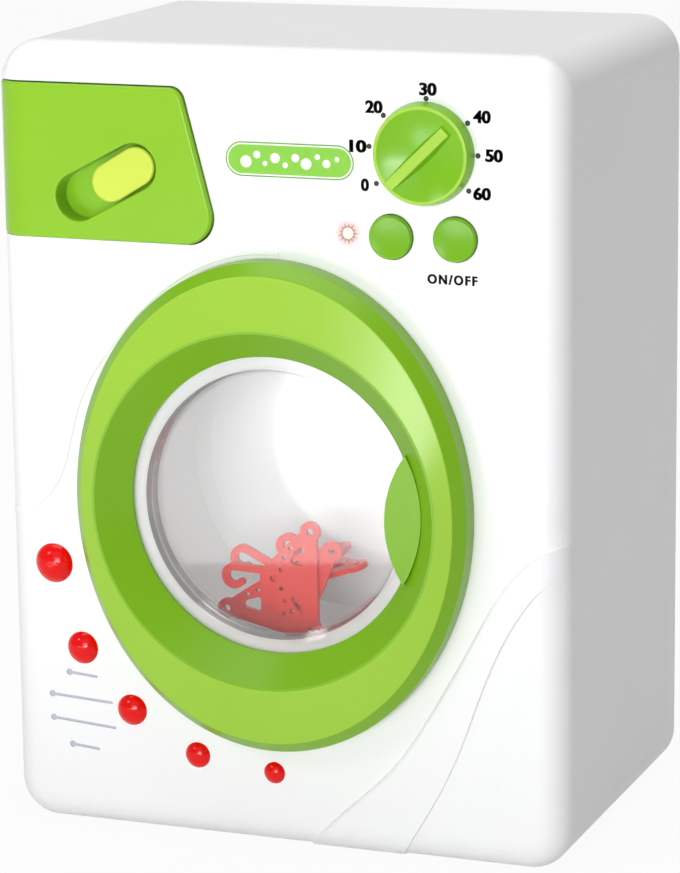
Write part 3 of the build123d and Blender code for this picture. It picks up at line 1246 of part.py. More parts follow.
def push_button(x, z):
    """Hollow cap with a flange behind the panel and a stem towards the board."""
    with BuildPart() as cap:
        with BuildSketch(across(x, z)):
            with BuildLine():
                rounded_corner(button_front_y, BUTTON_R, BUTTON_SOFT_R)
                Polyline(
                    (button_front_y + BUTTON_SOFT_R, BUTTON_R), (flange_y, BUTTON_R),
                    (flange_y, BUTTON_FLANGE_R), (flange_y + BUTTON_FLANGE_T, BUTTON_FLANGE_R),
                    (flange_y + BUTTON_FLANGE_T, cap_in_r), (cap_in_y, cap_in_r), (cap_in_y, BUTTON_STEM_R),
                    (stem_y, BUTTON_STEM_R), (stem_y, 0), (button_front_y + BUTTON_DISH, 0),
                )
                ThreePointArc(
                    (button_front_y + BUTTON_DISH, 0),
                    (button_front_y + BUTTON_DISH * 0.7, BUTTON_R * 0.5),
                    (button_front_y, BUTTON_R - BUTTON_SOFT_R),
                )
            make_face()
        revolve(axis=Axis((x, 0, z), (0, 1, 0)))
    return cap.part


def rubber_dome(x, z):
    """Rubber dome between a button's stem and the board."""
    top_y = BOARD_Y - DOME_H
    return turned(x, z, [
        (top_y, 0), (top_y, DOME_TOP_R), (BOARD_Y - DOME_T, DOME_R), (BOARD_Y, DOME_R),
        (BOARD_Y, DOME_R - DOME_T), (top_y + DOME_T, DOME_TOP_R - DOME_T), (top_y + DOME_T, 0),
    ])


with BuildPart() as light_button:
    add(push_button(LIGHT_X, LIGHT_Z))
finish(light_button, "light_button")

with BuildPart() as power_button:
    add(push_button(POWER_X, POWER_Z))
finish(power_button, "power_button")

with BuildPart() as light_dome:
    add(rubber_dome(LIGHT_X, LIGHT_Z))
finish(light_dome, "light_dome")

with BuildPart() as power_dome:
    add(rubber_dome(POWER_X, POWER_Z))
finish(power_dome, "power_dome")

with BuildPart() as control_board:
    with BuildSketch(facing(BOARD_Y + BOARD_T)):
        with Locations(((BOARD_LEFT_X + BOARD_RIGHT_X) / 2, (BOARD_LOW_Z + BOARD_HIGH_Z) / 2)):
            RectangleRounded(BOARD_RIGHT_X - BOARD_LEFT_X, BOARD_HIGH_Z - BOARD_LOW_Z, 1)
        with Locations(*BOARD_POSTS):
            Circle(SMALL_SCREW_R, mode=Mode.SUBTRACT)
    extrude(amount=BOARD_T)
finish(control_board, "control_board")

with BuildPart() as board_screws:
    add(screws(BOARD_POSTS, BOARD_Y + BOARD_T, 7, SMALL_SCREW_R, SMALL_HEAD_R))
finish(board_screws, "board_screws")

with BuildPart() as indicator_led:
    add(turned(LAMP_X, LAMP_Z, [
        (FRONT_Y - 0.5, 0), (FRONT_Y - 0.3, 0.8), (FRONT_Y + 0.4, LAMP_R), (FRONT_Y + 5.5, LAMP_R),
        (FRONT_Y + 5.5, LAMP_R + 0.4), (FRONT_Y + 6.3, LAMP_R + 0.4), (FRONT_Y + 6.3, 0),
    ]))
    for side in (-1, 1):
        with Locations((LAMP_X + side * 0.9, (FRONT_Y + 6 + BOARD_Y) / 2, LAMP_Z)):
            Box(0.5, BOARD_Y - FRONT_Y - 6, 0.5)
finish(indicator_led, "indicator_led")

# ---- red bubble lenses ---------------------------------------------------------------

for number, (x, z, radius) in enumerate(BUBBLES, start=1):
    stem_r = radius * BUBBLE_STEM
    top_y = FRONT_Y - radius * BUBBLE_RISE
    clip_y = INSIDE_FRONT_Y + TOUCH
    with BuildPart() as bubble_lens:
        with BuildSketch(across(x, z)):
            with BuildLine():
                ThreePointArc(
                    (top_y, 0), (FRONT_Y - radius * BUBBLE_RISE * 0.8, radius * 0.56), (FRONT_Y, radius)
                )
                Polyline(
                    (FRONT_Y, radius), (FRONT_Y, stem_r), (clip_y, stem_r), (clip_y, stem_r + BUBBLE_CLIP),
                    (clip_y + 1.8, stem_r - BUBBLE_CLIP), (clip_y + 1.8, 0), (top_y, 0),
                )
            make_face()
        revolve(axis=Axis((x, 0, z), (0, 1, 0)))
    finish(bubble_lens, f"bubble_lens_{number}")

# ---- doll hangers --------------------------------------------------------------------

hook_end = polar((0, HANGER_HOOK_AT), HANGER_HOOK_R, 230)
for number, (x, z, turn, lean) in enumerate(HANGERS, start=1):
    in_front = len(HANGERS) - 1 - number
    fall = radians(lean)
    if lean:
        y = HANGER_BACK_Y + HANGER_GAP + HANGER_T * cos(fall) + HANGER_EYE_R * sin(fall)
    else:
        y = HANGER_BACK_Y - in_front * (HANGER_T + HANGER_GAP)
    along = (cos(radians(turn)), 0, sin(radians(turn)))
    outwards = (-along[2] * sin(fall), -cos(fall), along[0] * sin(fall))
    with BuildPart() as hanger:
        with BuildSketch(Plane(origin=(x, y, z), x_dir=along, z_dir=outwards)):
            with BuildLine():
                ThreePointArc((-HANGER_HALF, 3), (-10, 10), (-2.6, 17))
                Line((-2.6, 17), (2.6, 17))
                ThreePointArc((2.6, 17), (10, 10), (HANGER_HALF, 3))
                Polyline(
                    (HANGER_HALF, 3), (HANGER_HALF, -HANGER_BAR / 2),
                    (-HANGER_HALF, -HANGER_BAR / 2), (-HANGER_HALF, 3),
                )
            make_face()
            for side in (-1, 1):
                with BuildLine():
                    FilletPolyline(
                        (side * 4.8, HANGER_BAR / 2), (side * 12.4, HANGER_BAR / 2),
                        (side * 9.6, 5.4), (side * 5.6, 7.6), radius=1.0, close=True,
                    )
                make_face(mode=Mode.SUBTRACT)
            with Locations((-HANGER_HALF, 0), (HANGER_HALF, 0)):
                Circle(HANGER_EYE_R)
            with Locations((0, 11.5)):
                Ellipse(5.6, 6.4)
            with BuildLine():
                Line((2.4, 16), (HANGER_HOOK_R, HANGER_HOOK_AT))
                CenterArc((0, HANGER_HOOK_AT), HANGER_HOOK_R, 0, 230)
            trace(line_width=HANGER_HOOK_W)
            with Locations(hook_end):
                Circle(HANGER_HOOK_W / 2)
            with Locations((-HANGER_HALF, 0), (HANGER_HALF, 0), (0, 13.2)):
                Circle(1.2, mode=Mode.SUBTRACT)
            for side in (-1, 1):
                with Locations((side * 3.2, 10.4), (side * 7.2, 9.2), (side * 10.6, 6.9)):
                    Circle(0.8, mode=Mode.SUBTRACT)
        extrude(amount=HANGER_T)
    finish(hanger, f"hanger_{number}")
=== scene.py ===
import bmesh
import bpy
from math import cos, pi, radians, sin
from mathutils import Matrix, Vector


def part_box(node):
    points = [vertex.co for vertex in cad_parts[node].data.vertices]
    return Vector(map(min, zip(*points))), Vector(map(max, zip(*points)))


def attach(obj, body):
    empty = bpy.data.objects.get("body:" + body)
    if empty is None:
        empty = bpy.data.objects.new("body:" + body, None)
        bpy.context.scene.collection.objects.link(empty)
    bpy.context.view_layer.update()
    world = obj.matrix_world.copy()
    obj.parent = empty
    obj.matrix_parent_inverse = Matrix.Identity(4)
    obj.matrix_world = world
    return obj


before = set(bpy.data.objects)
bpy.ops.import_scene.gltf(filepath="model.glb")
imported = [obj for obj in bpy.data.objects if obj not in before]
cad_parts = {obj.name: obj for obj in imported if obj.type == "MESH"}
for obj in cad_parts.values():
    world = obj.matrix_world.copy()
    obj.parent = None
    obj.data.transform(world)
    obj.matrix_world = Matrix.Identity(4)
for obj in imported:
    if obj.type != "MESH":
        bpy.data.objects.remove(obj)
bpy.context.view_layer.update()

# ---- studio: camera, paper and lamps -------------------------------------------------
# The toy stands on white paper and is seen from the right, a little from above, through
# a long lens. Soft boxes above, at and below the lens light its front, one hangs
# overhead, and two lit cards lie on the paper for the window to mirror.

MM = 0.001
AIM = Vector((21.82, -63.5, 138.39)) * MM
AWAY = 1178.06 * MM
TURN = radians(21.085)
RISE = radians(12.671)
ROLL = radians(-0.686)
LENS = 154.09

backwards = Vector((sin(TURN) * cos(RISE), -cos(TURN) * cos(RISE), sin(RISE)))
sideways = Vector((cos(TURN), sin(TURN), 0))
upwards = backwards.cross(sideways)
camera_right = cos(ROLL) * sideways + sin(ROLL) * upwards
camera_up = cos(ROLL) * upwards - sin(ROLL) * sideways
camera_place = AIM + AWAY * backwards

camera = bpy.data.objects.new("camera", bpy.data.cameras.new("camera"))
camera.data.lens = LENS
camera.data.sensor_width = 36
camera.data.clip_start = 0.05
camera.matrix_world = Matrix((
    (camera_right.x, camera_up.x, backwards.x, camera_place.x),
    (camera_right.y, camera_up.y, backwards.y, camera_place.y),
    (camera_right.z, camera_up.z, backwards.z, camera_place.z),
    (0, 0, 0, 1),
))
bpy.context.scene.collection.objects.link(camera)
bpy.context.scene.camera = camera
bpy.context.scene.view_settings.view_transform = "Standard"


class Wire:
    """What runs out of one shader node; sums on it add Math nodes."""

    def __init__(self, finish, output):
        self.finish = finish
        self.output = output

    def sum(self, operation, first, second=0.0):
        return self.finish.node("ShaderNodeMath", {"operation": operation}, {0: first, 1: second})

    def __add__(self, other):
        return self.sum("ADD", self, other)

    def __radd__(self, other):
        return self.sum("ADD", other, self)

    def __sub__(self, other):
        return self.sum("SUBTRACT", self, other)

    def __rsub__(self, other):
        return self.sum("SUBTRACT", other, self)

    def __mul__(self, other):
        return self.sum("MULTIPLY", self, other)

    def __rmul__(self, other):
        return self.sum("MULTIPLY", other, self)

    def __pow__(self, other):
        return self.sum("POWER", self, other)

    def over(self, limit):
        return self.sum("GREATER_THAN", self, limit)

    def under(self, limit):
        return self.sum("LESS_THAN", self, limit)

    def capped(self, limit):
        return self.sum("MINIMUM", self, limit)

    def wave(self):
        return self.sum("SINE", self)

    def size(self):
        return self.sum("ABSOLUTE", self)


def colour(code):
    """Linear colour of a six-digit screen colour."""
    parts = [int(code[at:at + 2], 16) / 255 for at in (1, 3, 5)]
    return (*(p / 12.92 if p <= 0.04045 else ((p + 0.055) / 1.055) ** 2.4 for p in parts), 1)


class Finish:
    """A material put together node by node."""

    def __init__(self, name, holder=None):
        self.holder = holder or bpy.data.materials.new(name)
        self.holder.use_nodes = True
        self.tree = self.holder.node_tree
        self.tree.nodes.clear()

    def node(self, kind, settings=None, sockets=None, output=0):
        new = self.tree.nodes.new(kind)
        for name, value in (settings or {}).items():
            if name == "stops":
                ramp = new.color_ramp
                while len(ramp.elements) < len(value):
                    ramp.elements.new(0.5)
                for element, (position, shade) in zip(ramp.elements, value):
                    element.position = position
                    element.color = shade
            else:
                setattr(new, name, value)
        for name, value in (sockets or {}).items():
            if isinstance(value, Wire):
                self.tree.links.new(value.output, new.inputs[name])
            else:
                new.inputs[name].default_value = value
        return Wire(self, new.outputs[output])

    def place(self):
        return self.node("ShaderNodeTexCoord", output="Object")

    def along(self, axis):
        return self.node("ShaderNodeSeparateXYZ", {}, {0: self.place()}, axis)

    def stretched(self, scales):
        return self.node("ShaderNodeVectorMath", {"operation": "MULTIPLY"}, {
            0: self.place(), 1: scales,
        })

    def noise(self, scale, detail=2.0, where=None):
        return self.node("ShaderNodeTexNoise", {}, {
            "Vector": where or self.place(), "Scale": scale, "Detail": detail, "Roughness": 0.55,
        })

    def from_axis(self, first, second, middle):
        """Distance in metres from a line along the remaining axis, its middle in mm."""
        across = self.along(first) - middle[0] * MM
        up = self.along(second) - middle[1] * MM
        return (across * across + up * up) ** 0.5

    def blend(self, factor, first, second):
        """Colour that goes from the first to the second with the factor."""
        return self.node("ShaderNodeMix", {"data_type": "RGBA"}, {
            "Factor": factor, 6: first, 7: second,
        }, 2)

    def steps(self, factor, *stops):
        return self.node("ShaderNodeValToRGB", {"stops": stops}, {"Fac": factor})

    def bump(self, height, depth):
        """Surface raised by up to a depth in mm where the height is 1."""
        return self.node("ShaderNodeBump", {}, {
            "Height": height, "Distance": depth * MM, "Strength": 1.0,
        })

    def surface(self, shader):
        last = self.tree.nodes.new("ShaderNodeOutputMaterial")
        self.tree.links.new(shader.output, last.inputs["Surface"])
        return self.holder

    def principled(self, sockets):
        return self.surface(self.node("ShaderNodeBsdfPrincipled", {}, sockets))


def lit_paper(finish, level):
    """White to the camera and in mirrors, with enough bare paper left for the shadow."""
    seen = finish.node("ShaderNodeLightPath", output="Is Camera Ray")
    mirrored = finish.node("ShaderNodeLightPath", output="Is Glossy Ray")
    passed = finish.node("ShaderNodeLightPath", output="Is Transmission Ray")
    fibre = finish.noise(900.0, 4.0)
    bare = finish.node("ShaderNodeBsdfDiffuse", {}, {
        "Color": finish.blend(fibre, colour("#D6D6D6"), colour("#DCDCDC")), "Roughness": 0.6,
    })
    glow = finish.node("ShaderNodeEmission", {}, {"Color": (1, 1, 1, 1), "Strength": 1.0})
    return finish.surface(finish.node("ShaderNodeMixShader", {}, {
        0: (seen + mirrored + passed) * level, 1: bare, 2: glow,
    }))


def flat_sheet(name, corners, finish):
    """Studio card or paper, lying flat; no part of the toy."""
    mesh = bpy.data.meshes.new(name)
    mesh.from_pydata(corners, [], [range(len(corners))])
    mesh.materials.append(finish)
    piece = bpy.data.objects.new(name, mesh)
    bpy.context.scene.collection.objects.link(piece)


PAPER_HALF = 6
PAPER_LEVEL = 0.94
flat_sheet("floor", [
    (x * PAPER_HALF, y * PAPER_HALF, 0) for x, y in ((-1, -1), (1, -1), (1, 1), (-1, 1))
], lit_paper(Finish("floor paper"), PAPER_LEVEL))

ROOM_LEVEL = 0.11
MIRRORED_LEVEL = 0.35
world = bpy.data.worlds.new("studio")
bpy.context.scene.world = world
room = Finish("studio", world)
room_seen = room.node("ShaderNodeLightPath", output="Is Camera Ray")
room_passed = room.node("ShaderNodeLightPath", output="Is Transmission Ray")
room_mirrored = room.node("ShaderNodeLightPath", output="Is Glossy Ray")
room_dim = room.node("ShaderNodeBackground", {}, {"Color": (1, 1, 1, 1), "Strength": ROOM_LEVEL})
room_white = room.node("ShaderNodeBackground", {}, {"Color": (1, 1, 1, 1), "Strength": 1.0})
room_mixed = room.node("ShaderNodeMixShader", {}, {
    0: room_seen + room_passed + room_mirrored * MIRRORED_LEVEL, 1: room_dim, 2: room_white,
})
room_out = room.tree.nodes.new("ShaderNodeOutputWorld")
room.tree.links.new(room_mixed.output, room_out.inputs["Surface"])


def soft_box(name, place, target, width, height, watts, shape="RECTANGLE"):
    """Flat lamp that faces its target; places and sizes in metres."""
    lamp = bpy.data.lights.new(name, "AREA")
    lamp.shape = shape
    lamp.size = width
    lamp.size_y = height
    lamp.energy = watts
    holder = bpy.data.objects.new(name, lamp)
    holder.location = place
    holder.rotation_euler = (Vector(target) - Vector(place)).to_track_quat("-Z", "Y").to_euler()
    bpy.context.scene.collection.objects.link(holder)


MIDDLE = (0, 0, 0.13)
soft_box("soft box above the lens", (0.25, -3.56, 1.95), MIDDLE, 3.0, 3.0, 15.5)
soft_box("soft box low in front", (0.2, -3.0, 0.16), MIDDLE, 1.4, 0.3, 20.5)
soft_box("soft box at the lens", (0.55, -3.92, 0.75), MIDDLE, 1.6, 1.2, 47.0)
soft_box("soft box front left", (-1.0, -1.2, 1.05), MIDDLE, 0.4, 0.4, 3.0, "ELLIPSE")
soft_box("soft box overhead", (0.0, 0.2, 2.2), MIDDLE, 2.0, 2.0, 36.0)
soft_box("small lamp in the drum", (0.0, -0.03, 0.165), (0.0, -0.02, 0.06), 0.04, 0.02, 0.004)
soft_box("soft box rear right", (1.3, 1.3, 0.6), MIDDLE, 0.8, 0.8, 1.5)


def glowing_card(name, corners, height, level):
    """Lit card on the paper, in mm; its mirror image is a pale veil on the door's window."""
    glow = Finish(name)
    cloudy = glow.noise(6.0, 1.0)
    glow.surface(glow.node("ShaderNodeEmission", {}, {
        "Color": glow.blend(cloudy, (0.97, 0.98, 1.0, 1), (1, 1, 1, 1)), "Strength": level,
    }))
    flat_sheet(name, [(x * MM, y * MM, height * MM) for x, y in corners], glow.holder)


glowing_card("wide card", ((-260, -345), (-40, -416), (-150, -960), (-520, -900)), 3.0, 3.6)
glowing_card("round card", (
    (-283, -806), (-266, -733), (-242, -656), (-213, -581), (-183, -516), (-153, -464),
    (-127, -427), (-104, -407), (-66, -403), (-60, -640), (-120, -830),
), 6.0, 7.0)

# ---- cabinet -------------------------------------------------------------------------
# White ABS, moulded in one piece with the raised sweep, the swoosh and all inside posts.
# The outside is polished in the mould and shows only faint flow marks. The four short
# grooves at the lower left are painted pale blue-grey as shade.

GROOVE_AREA = (-84.0, -56.0, 22.0, 56.0)     # left, right, low, high
GROOVE_SKIN_Y = -63.3
GROOVE_FLOOR_Y = -62.1


def moulded(name, shade, flow, rough, grain=0.004, sheen=0.5, milky=0.0, painted=None):
    """Moulded plastic: faint clouds of colour, an uneven gloss and a fine skin."""
    finish = Finish(name)
    clouds = finish.noise(14.0, 3.0)
    wisps = finish.noise(70.0, 4.0)
    skin = finish.noise(1900.0, 2.0)
    peel = finish.noise(160.0, 1.0)
    bare = finish.blend(clouds * 0.7 + wisps * 0.3, colour(shade), colour(flow))
    sockets = {
        "Base Color": painted(finish, bare) if painted else bare,
        "Roughness": rough - 0.05 + wisps * 0.1,
        "Normal": finish.bump(skin * 0.35 + peel, grain),
        "IOR": 1.5,
        "Specular IOR Level": sheen,
    }
    if milky:
        sockets["Subsurface Weight"] = milky
        sockets["Subsurface Scale"] = 0.002
        sockets["Subsurface Radius"] = (1.0, 0.8, 0.6)
    return finish.principled(sockets)


def coat(finish, *nodes):
    """Give CAD nodes their finish."""
    for name in nodes:
        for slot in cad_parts[name].material_slots:
            slot.material = finish


def groove_painted_shade(finish, bare):
    """Painted shade on whatever lies in the grooves' corner of the front and below its skin."""
    left, right, low, high = (value * MM for value in GROOVE_AREA)
    beside = finish.along(0).over(left) * finish.along(0).under(right)
    level = finish.along(2).over(low) * finish.along(2).under(high)
    sunk = finish.along(1).over(GROOVE_SKIN_Y * MM) * finish.along(1).under(GROOVE_FLOOR_Y * MM)
    # painted shade: the groove floors are tinted pale blue-grey
    return finish.blend(beside * level * sunk, bare, colour("#BFC4D0"))


shell = moulded(
    "white cabinet plastic", "#F4F4F6", "#F9F9FA", 0.36, 0.003, 0.4, painted=groove_painted_shade
)
coat(shell, "cabinet_shell")

# ---- printing on the cabinet front ---------------------------------------------------
# Black pad printing: the minutes round the dial with a spot to each, and ON/OFF under
# the power button. The ink is a film a few hundredths of a millimetre thick.

FRONT_Y = -63.5
INK = 0.06              # thickness of the film
INK_SINK = 0.02         # how deep its back lies in the plastic
MINUTES = (             # figure, middle of its spot, middle of the figure
    ("0", (34.9, 219.5), (31.1, 218.9)),
    ("10", (32.6, 231.0), (28.9, 230.9)),
    ("20", (37.4, 240.8), (34.3, 243.3)),
    ("30", (51.4, 246.5), (52.0, 249.4)),
    ("40", (64.8, 239.4), (69.4, 241.5)),
    ("50", (68.1, 229.5), (73.3, 229.7)),
    ("60", (65.1, 218.5), (69.4, 217.8)),
)
FIGURE_W = 2.75
FIGURE_H = 4.0
FIGURE_GAP = 0.3
SPOT_R = 0.85
SWITCH_WORDS_AT = (59.65, 190.5)
SWITCH_WORDS_W = 16.4
SWITCH_WORDS_H = 3.1
FATTENING = 0.03        # of the letter's outline, as a share of its height
STRIKE = 0.028          # the type is struck three times, a hair apart, for bold strokes


def inked(name, shade, thin):
    """Pad-printing ink: a little thinner in places, with a soft matt skin."""
    finish = Finish(name)
    spread = finish.noise(420.0, 3.0)
    pits = finish.noise(2600.0, 2.0)
    return finish.principled({
        "Base Color": finish.blend(spread, colour(shade), colour(thin)),
        "Roughness": 0.34 + spread * 0.14,
        "Normal": finish.bump(pits, 0.002),
        "IOR": 1.48,
    })


def on_cabinet(piece):
    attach(piece, "cabinet")


def lettering(name, words, middle, width, height, finish, apart=1.0):
    """Bold printed words, fitted to a width and height on the cabinet's front (mm)."""
    sign = bpy.data.curves.new(name, "FONT")
    sign.body = words
    sign.size = 1.0
    sign.offset = FATTENING
    sign.space_character = apart
    sign.extrude = 0.5
    sign.resolution_u = 6
    holder = bpy.data.objects.new(name + "_sign", sign)
    bpy.context.scene.collection.objects.link(holder)
    seen = holder.evaluated_get(bpy.context.evaluated_depsgraph_get())
    mesh = bpy.data.meshes.new_from_object(seen)
    bpy.data.objects.remove(holder)
    struck = bmesh.new()
    for shift in (-STRIKE, 0.0, STRIKE):
        before = len(struck.verts)
        struck.from_mesh(mesh)
        struck.verts.ensure_lookup_table()
        for vert in struck.verts[before:]:
            vert.co.x += shift
    struck.to_mesh(mesh)
    struck.free()
    lows = [min(v.co[axis] for v in mesh.vertices) for axis in range(3)]
    highs = [max(v.co[axis] for v in mesh.vertices) for axis in range(3)]
    for v in mesh.vertices:
        u, w, t = ((v.co[axis] - lows[axis]) / (highs[axis] - lows[axis]) for axis in range(3))
        v.co = Vector((
            middle[0] + (u - 0.5) * width,
            FRONT_Y + INK_SINK - t * INK,
            middle[1] + (w - 0.5) * height,
        )) * MM
    mesh.materials.clear()
    mesh.materials.append(finish)
    piece = bpy.data.objects.new(name, mesh)
    bpy.context.scene.collection.objects.link(piece)
    on_cabinet(piece)


black_ink = inked("black ink", "#0D0D0E", "#19191B")
for words, spot, middle in MINUTES:
    width = FIGURE_W * len(words) + FIGURE_GAP * (len(words) - 1)
    lettering("minutes_" + words, words, middle, width, FIGURE_H, black_ink)
lettering(
    "on_off_print", "ON/OFF", SWITCH_WORDS_AT, SWITCH_WORDS_W, SWITCH_WORDS_H, black_ink, 1.3
)


class Jig:
    """A geometry node tree with named sizes that plants one shape on a row of points."""

    def __init__(self, name, sizes):
        self.sizes = sizes
        self.tree = bpy.data.node_groups.new(name, "GeometryNodeTree")
        self.tree.interface.new_socket("Points", in_out="INPUT", socket_type="NodeSocketGeometry")
        for label, value in sizes.items():
            kind = "NodeSocketInt" if isinstance(value, int) else "NodeSocketFloat"
            self.tree.interface.new_socket(label, in_out="INPUT", socket_type=kind)
        self.tree.interface.new_socket("Printed", in_out="OUTPUT", socket_type="NodeSocketGeometry")
        self.given = self.tree.nodes.new("NodeGroupInput")

    def size(self, label):
        return self.given.outputs[label]

    def node(self, kind, settings=None, sockets=None, output=0):
        new = self.tree.nodes.new(kind)
        for name, value in (settings or {}).items():
            setattr(new, name, value)
        for name, value in (sockets or {}).items():
            if isinstance(value, bpy.types.NodeSocket):
                self.tree.links.new(value, new.inputs[name])
            else:
                new.inputs[name].default_value = value
        return new.outputs[output]

    def plant(self, points, shape, turn, scale):
        return self.node("GeometryNodeInstanceOnPoints", {}, {
            "Points": points, "Instance": shape, "Rotation": turn, "Scale": scale,
        })

    def make(self, name, planted, finish, points=((0, 0, 0),), sizes_of_points=(1.0,)):
        """Run the tree on the points and keep its result as a plain mesh."""
        whole = self.node("GeometryNodeRealizeInstances", {}, {0: planted})
        painted = self.node("GeometryNodeSetMaterial", {}, {"Geometry": whole, "Material": finish})
        last = self.tree.nodes.new("NodeGroupOutput")
        self.tree.links.new(painted, last.inputs[0])
        mesh = bpy.data.meshes.new(name + "_points")
        mesh.from_pydata(points, [], [])
        given = mesh.attributes.new("spot size", "FLOAT", "POINT")
        for number, value in enumerate(sizes_of_points):
            given.data[number].value = value
        holder = bpy.data.objects.new(name + "_points", mesh)
        bpy.context.scene.collection.objects.link(holder)
        run = holder.modifiers.new(name, "NODES")
        run.node_group = self.tree
        for item in self.tree.interface.items_tree:
            if item.in_out == "INPUT" and item.name in self.sizes:
                run[item.identifier] = self.sizes[item.name]
        seen = holder.evaluated_get(bpy.context.evaluated_depsgraph_get())
        result = bpy.data.meshes.new_from_object(seen)
        bpy.data.objects.remove(holder)
        result.shade_flat()
        piece = bpy.data.objects.new(name, result)
        bpy.context.scene.collection.objects.link(piece)
        return piece


def ink_spots(name, spots, finish, lift=0.0):
    """Flat round spots of ink, each (x, z, radius) in mm."""
    jig = Jig(name, {"Spot radius": 1.0 * MM, "Ink thickness": INK * MM, "Edges": 28})
    disc = jig.node("GeometryNodeMeshCylinder", {}, {
        "Vertices": jig.size("Edges"),
        "Radius": jig.size("Spot radius"),
        "Depth": jig.size("Ink thickness"),
    })
    own = jig.node("GeometryNodeInputNamedAttribute", {"data_type": "FLOAT"}, {
        "Name": "spot size",
    })
    scale = jig.node("ShaderNodeCombineXYZ", {}, {0: own, 1: own, 2: 1.0})
    planted = jig.plant(jig.size("Points"), disc, (pi / 2, 0, 0), scale)
    depth = FRONT_Y + INK_SINK - INK / 2 - lift
    points = [(x * MM, depth * MM, z * MM) for x, z, radius in spots]
    piece = jig.make(name, planted, finish, points, [radius for x, z, radius in spots])
    on_cabinet(piece)


minute_spots = [(*spot, SPOT_R) for words, spot, middle in MINUTES]
ink_spots("minute_spots", minute_spots, black_ink)

# ---- lamp rays -----------------------------------------------------------------------
# A burst of short rays round the small lamp, pad-printed in red ink over a pale pink halo
# that fades into the white of the cabinet, with a cream spot round the lamp itself.

LAMP_AT = (25.3, 203.4)
LAMP_R = 1.9
RAY_FROM = 1.75
RAY_LONG = 1.8
RAY_WIDE = 0.3
RAY_LIFT = 0.03         # middle of the rays, ahead of the cabinet
RAY_FLAT = 0.08         # flattening of the ray's three-sided spike
HALO_R = 5.2
HEART_R = 1.8

rays = Jig("lamp rays", {
    "Rays": 13, "From": RAY_FROM * MM, "Ray length": RAY_LONG * MM, "Ray width": RAY_WIDE * MM,
    "Flattening": RAY_FLAT, "Seed": 4,
})
number_of_ray = rays.node("GeometryNodeInputIndex")
share = rays.node("ShaderNodeMath", {"operation": "DIVIDE"}, {
    0: number_of_ray, 1: rays.size("Rays"),
})
angle = rays.node("ShaderNodeMath", {"operation": "MULTIPLY"}, {0: share, 1: 2 * pi})
ring_of_points = rays.node("GeometryNodeMeshCircle", {}, {
    "Vertices": rays.size("Rays"), "Radius": rays.size("From"),
})
tip = rays.node("GeometryNodeMeshCone", {}, {
    "Vertices": 3,
    "Radius Bottom": rays.size("Ray width"),
    "Radius Top": 0.0,
    "Depth": rays.size("Ray length"),
})
flattened = rays.node("ShaderNodeCombineXYZ", {}, {0: rays.size("Flattening"), 1: 1.0, 2: 1.0})
laid = rays.node("GeometryNodeTransform", {}, {
    "Geometry": tip, "Rotation": (0, pi / 2, 0), "Scale": flattened,
})
long = rays.node("FunctionNodeRandomValue", {"data_type": "FLOAT"}, {
    "Min": 0.75, "Max": 1.25, "Seed": rays.size("Seed"),
}, 1)
long_scale = rays.node("ShaderNodeCombineXYZ", {}, {0: long, 1: 1.0, 2: 1.0})
facing_out = rays.node("ShaderNodeCombineXYZ", {}, {2: angle})
planted_rays = rays.plant(ring_of_points, laid, facing_out, long_scale)
stood_up = rays.node("GeometryNodeTransform", {}, {
    "Geometry": planted_rays, "Rotation": (pi / 2, 0, 0),
    "Translation": (LAMP_AT[0] * MM, (FRONT_Y - RAY_LIFT) * MM, LAMP_AT[1] * MM),
})
burst = rays.make("lamp_rays", stood_up, inked("red ray ink", "#7E4038", "#9A5A50"))
on_cabinet(burst)

halo_ink = Finish("halo ink")
far = halo_ink.from_axis(0, 2, LAMP_AT) * (1000 / HALO_R)
specks = halo_ink.noise(700.0, 2.0)
halo_fade = halo_ink.steps(
    far + specks * 0.06,
    (0.0, (1, 1, 1, 1)), (0.35, (0.8, 0.8, 0.8, 1)), (1.0, (0, 0, 0, 1)),
)
halo_ink.principled({
    "Base Color": halo_ink.blend(specks, colour("#F2A89C"), colour("#F5B5A8")),
    "Roughness": 0.4, "Alpha": halo_fade * 0.6,
    "Normal": halo_ink.bump(specks, 0.001),
})
ink_spots("lamp_halo", [(*LAMP_AT, HALO_R)], halo_ink.holder, -0.035)
cream_ink = inked("cream ink", "#FBF3DF", "#FFF8E8")
ink_spots("lamp_heart", [(*LAMP_AT, HEART_R)], cream_ink, -0.01)

# ---- plain badge ---------------------------------------------------------------------
# A printed label of three films of ink, dark green, white and green, one on the other,
# with soap bubbles in pale ink and without any words.

BADGE_MID = (6.0, 225.4)
BADGE_HALF = (20.6, 4.6)
BUBBLES = (             # x, z, radius
    (-8.6, 224.6, 1.9), (-4.9, 226.9, 1.2), (-2.2, 224.2, 0.8), (1.2, 226.0, 1.6),
    (4.6, 223.9, 0.9), (8.0, 226.3, 1.3), (11.6, 224.6, 1.8), (15.4, 226.9, 0.9),
    (18.4, 224.9, 1.3), (21.9, 226.4, 0.8),
)
END_STEPS = 24          # sides of each half-round end


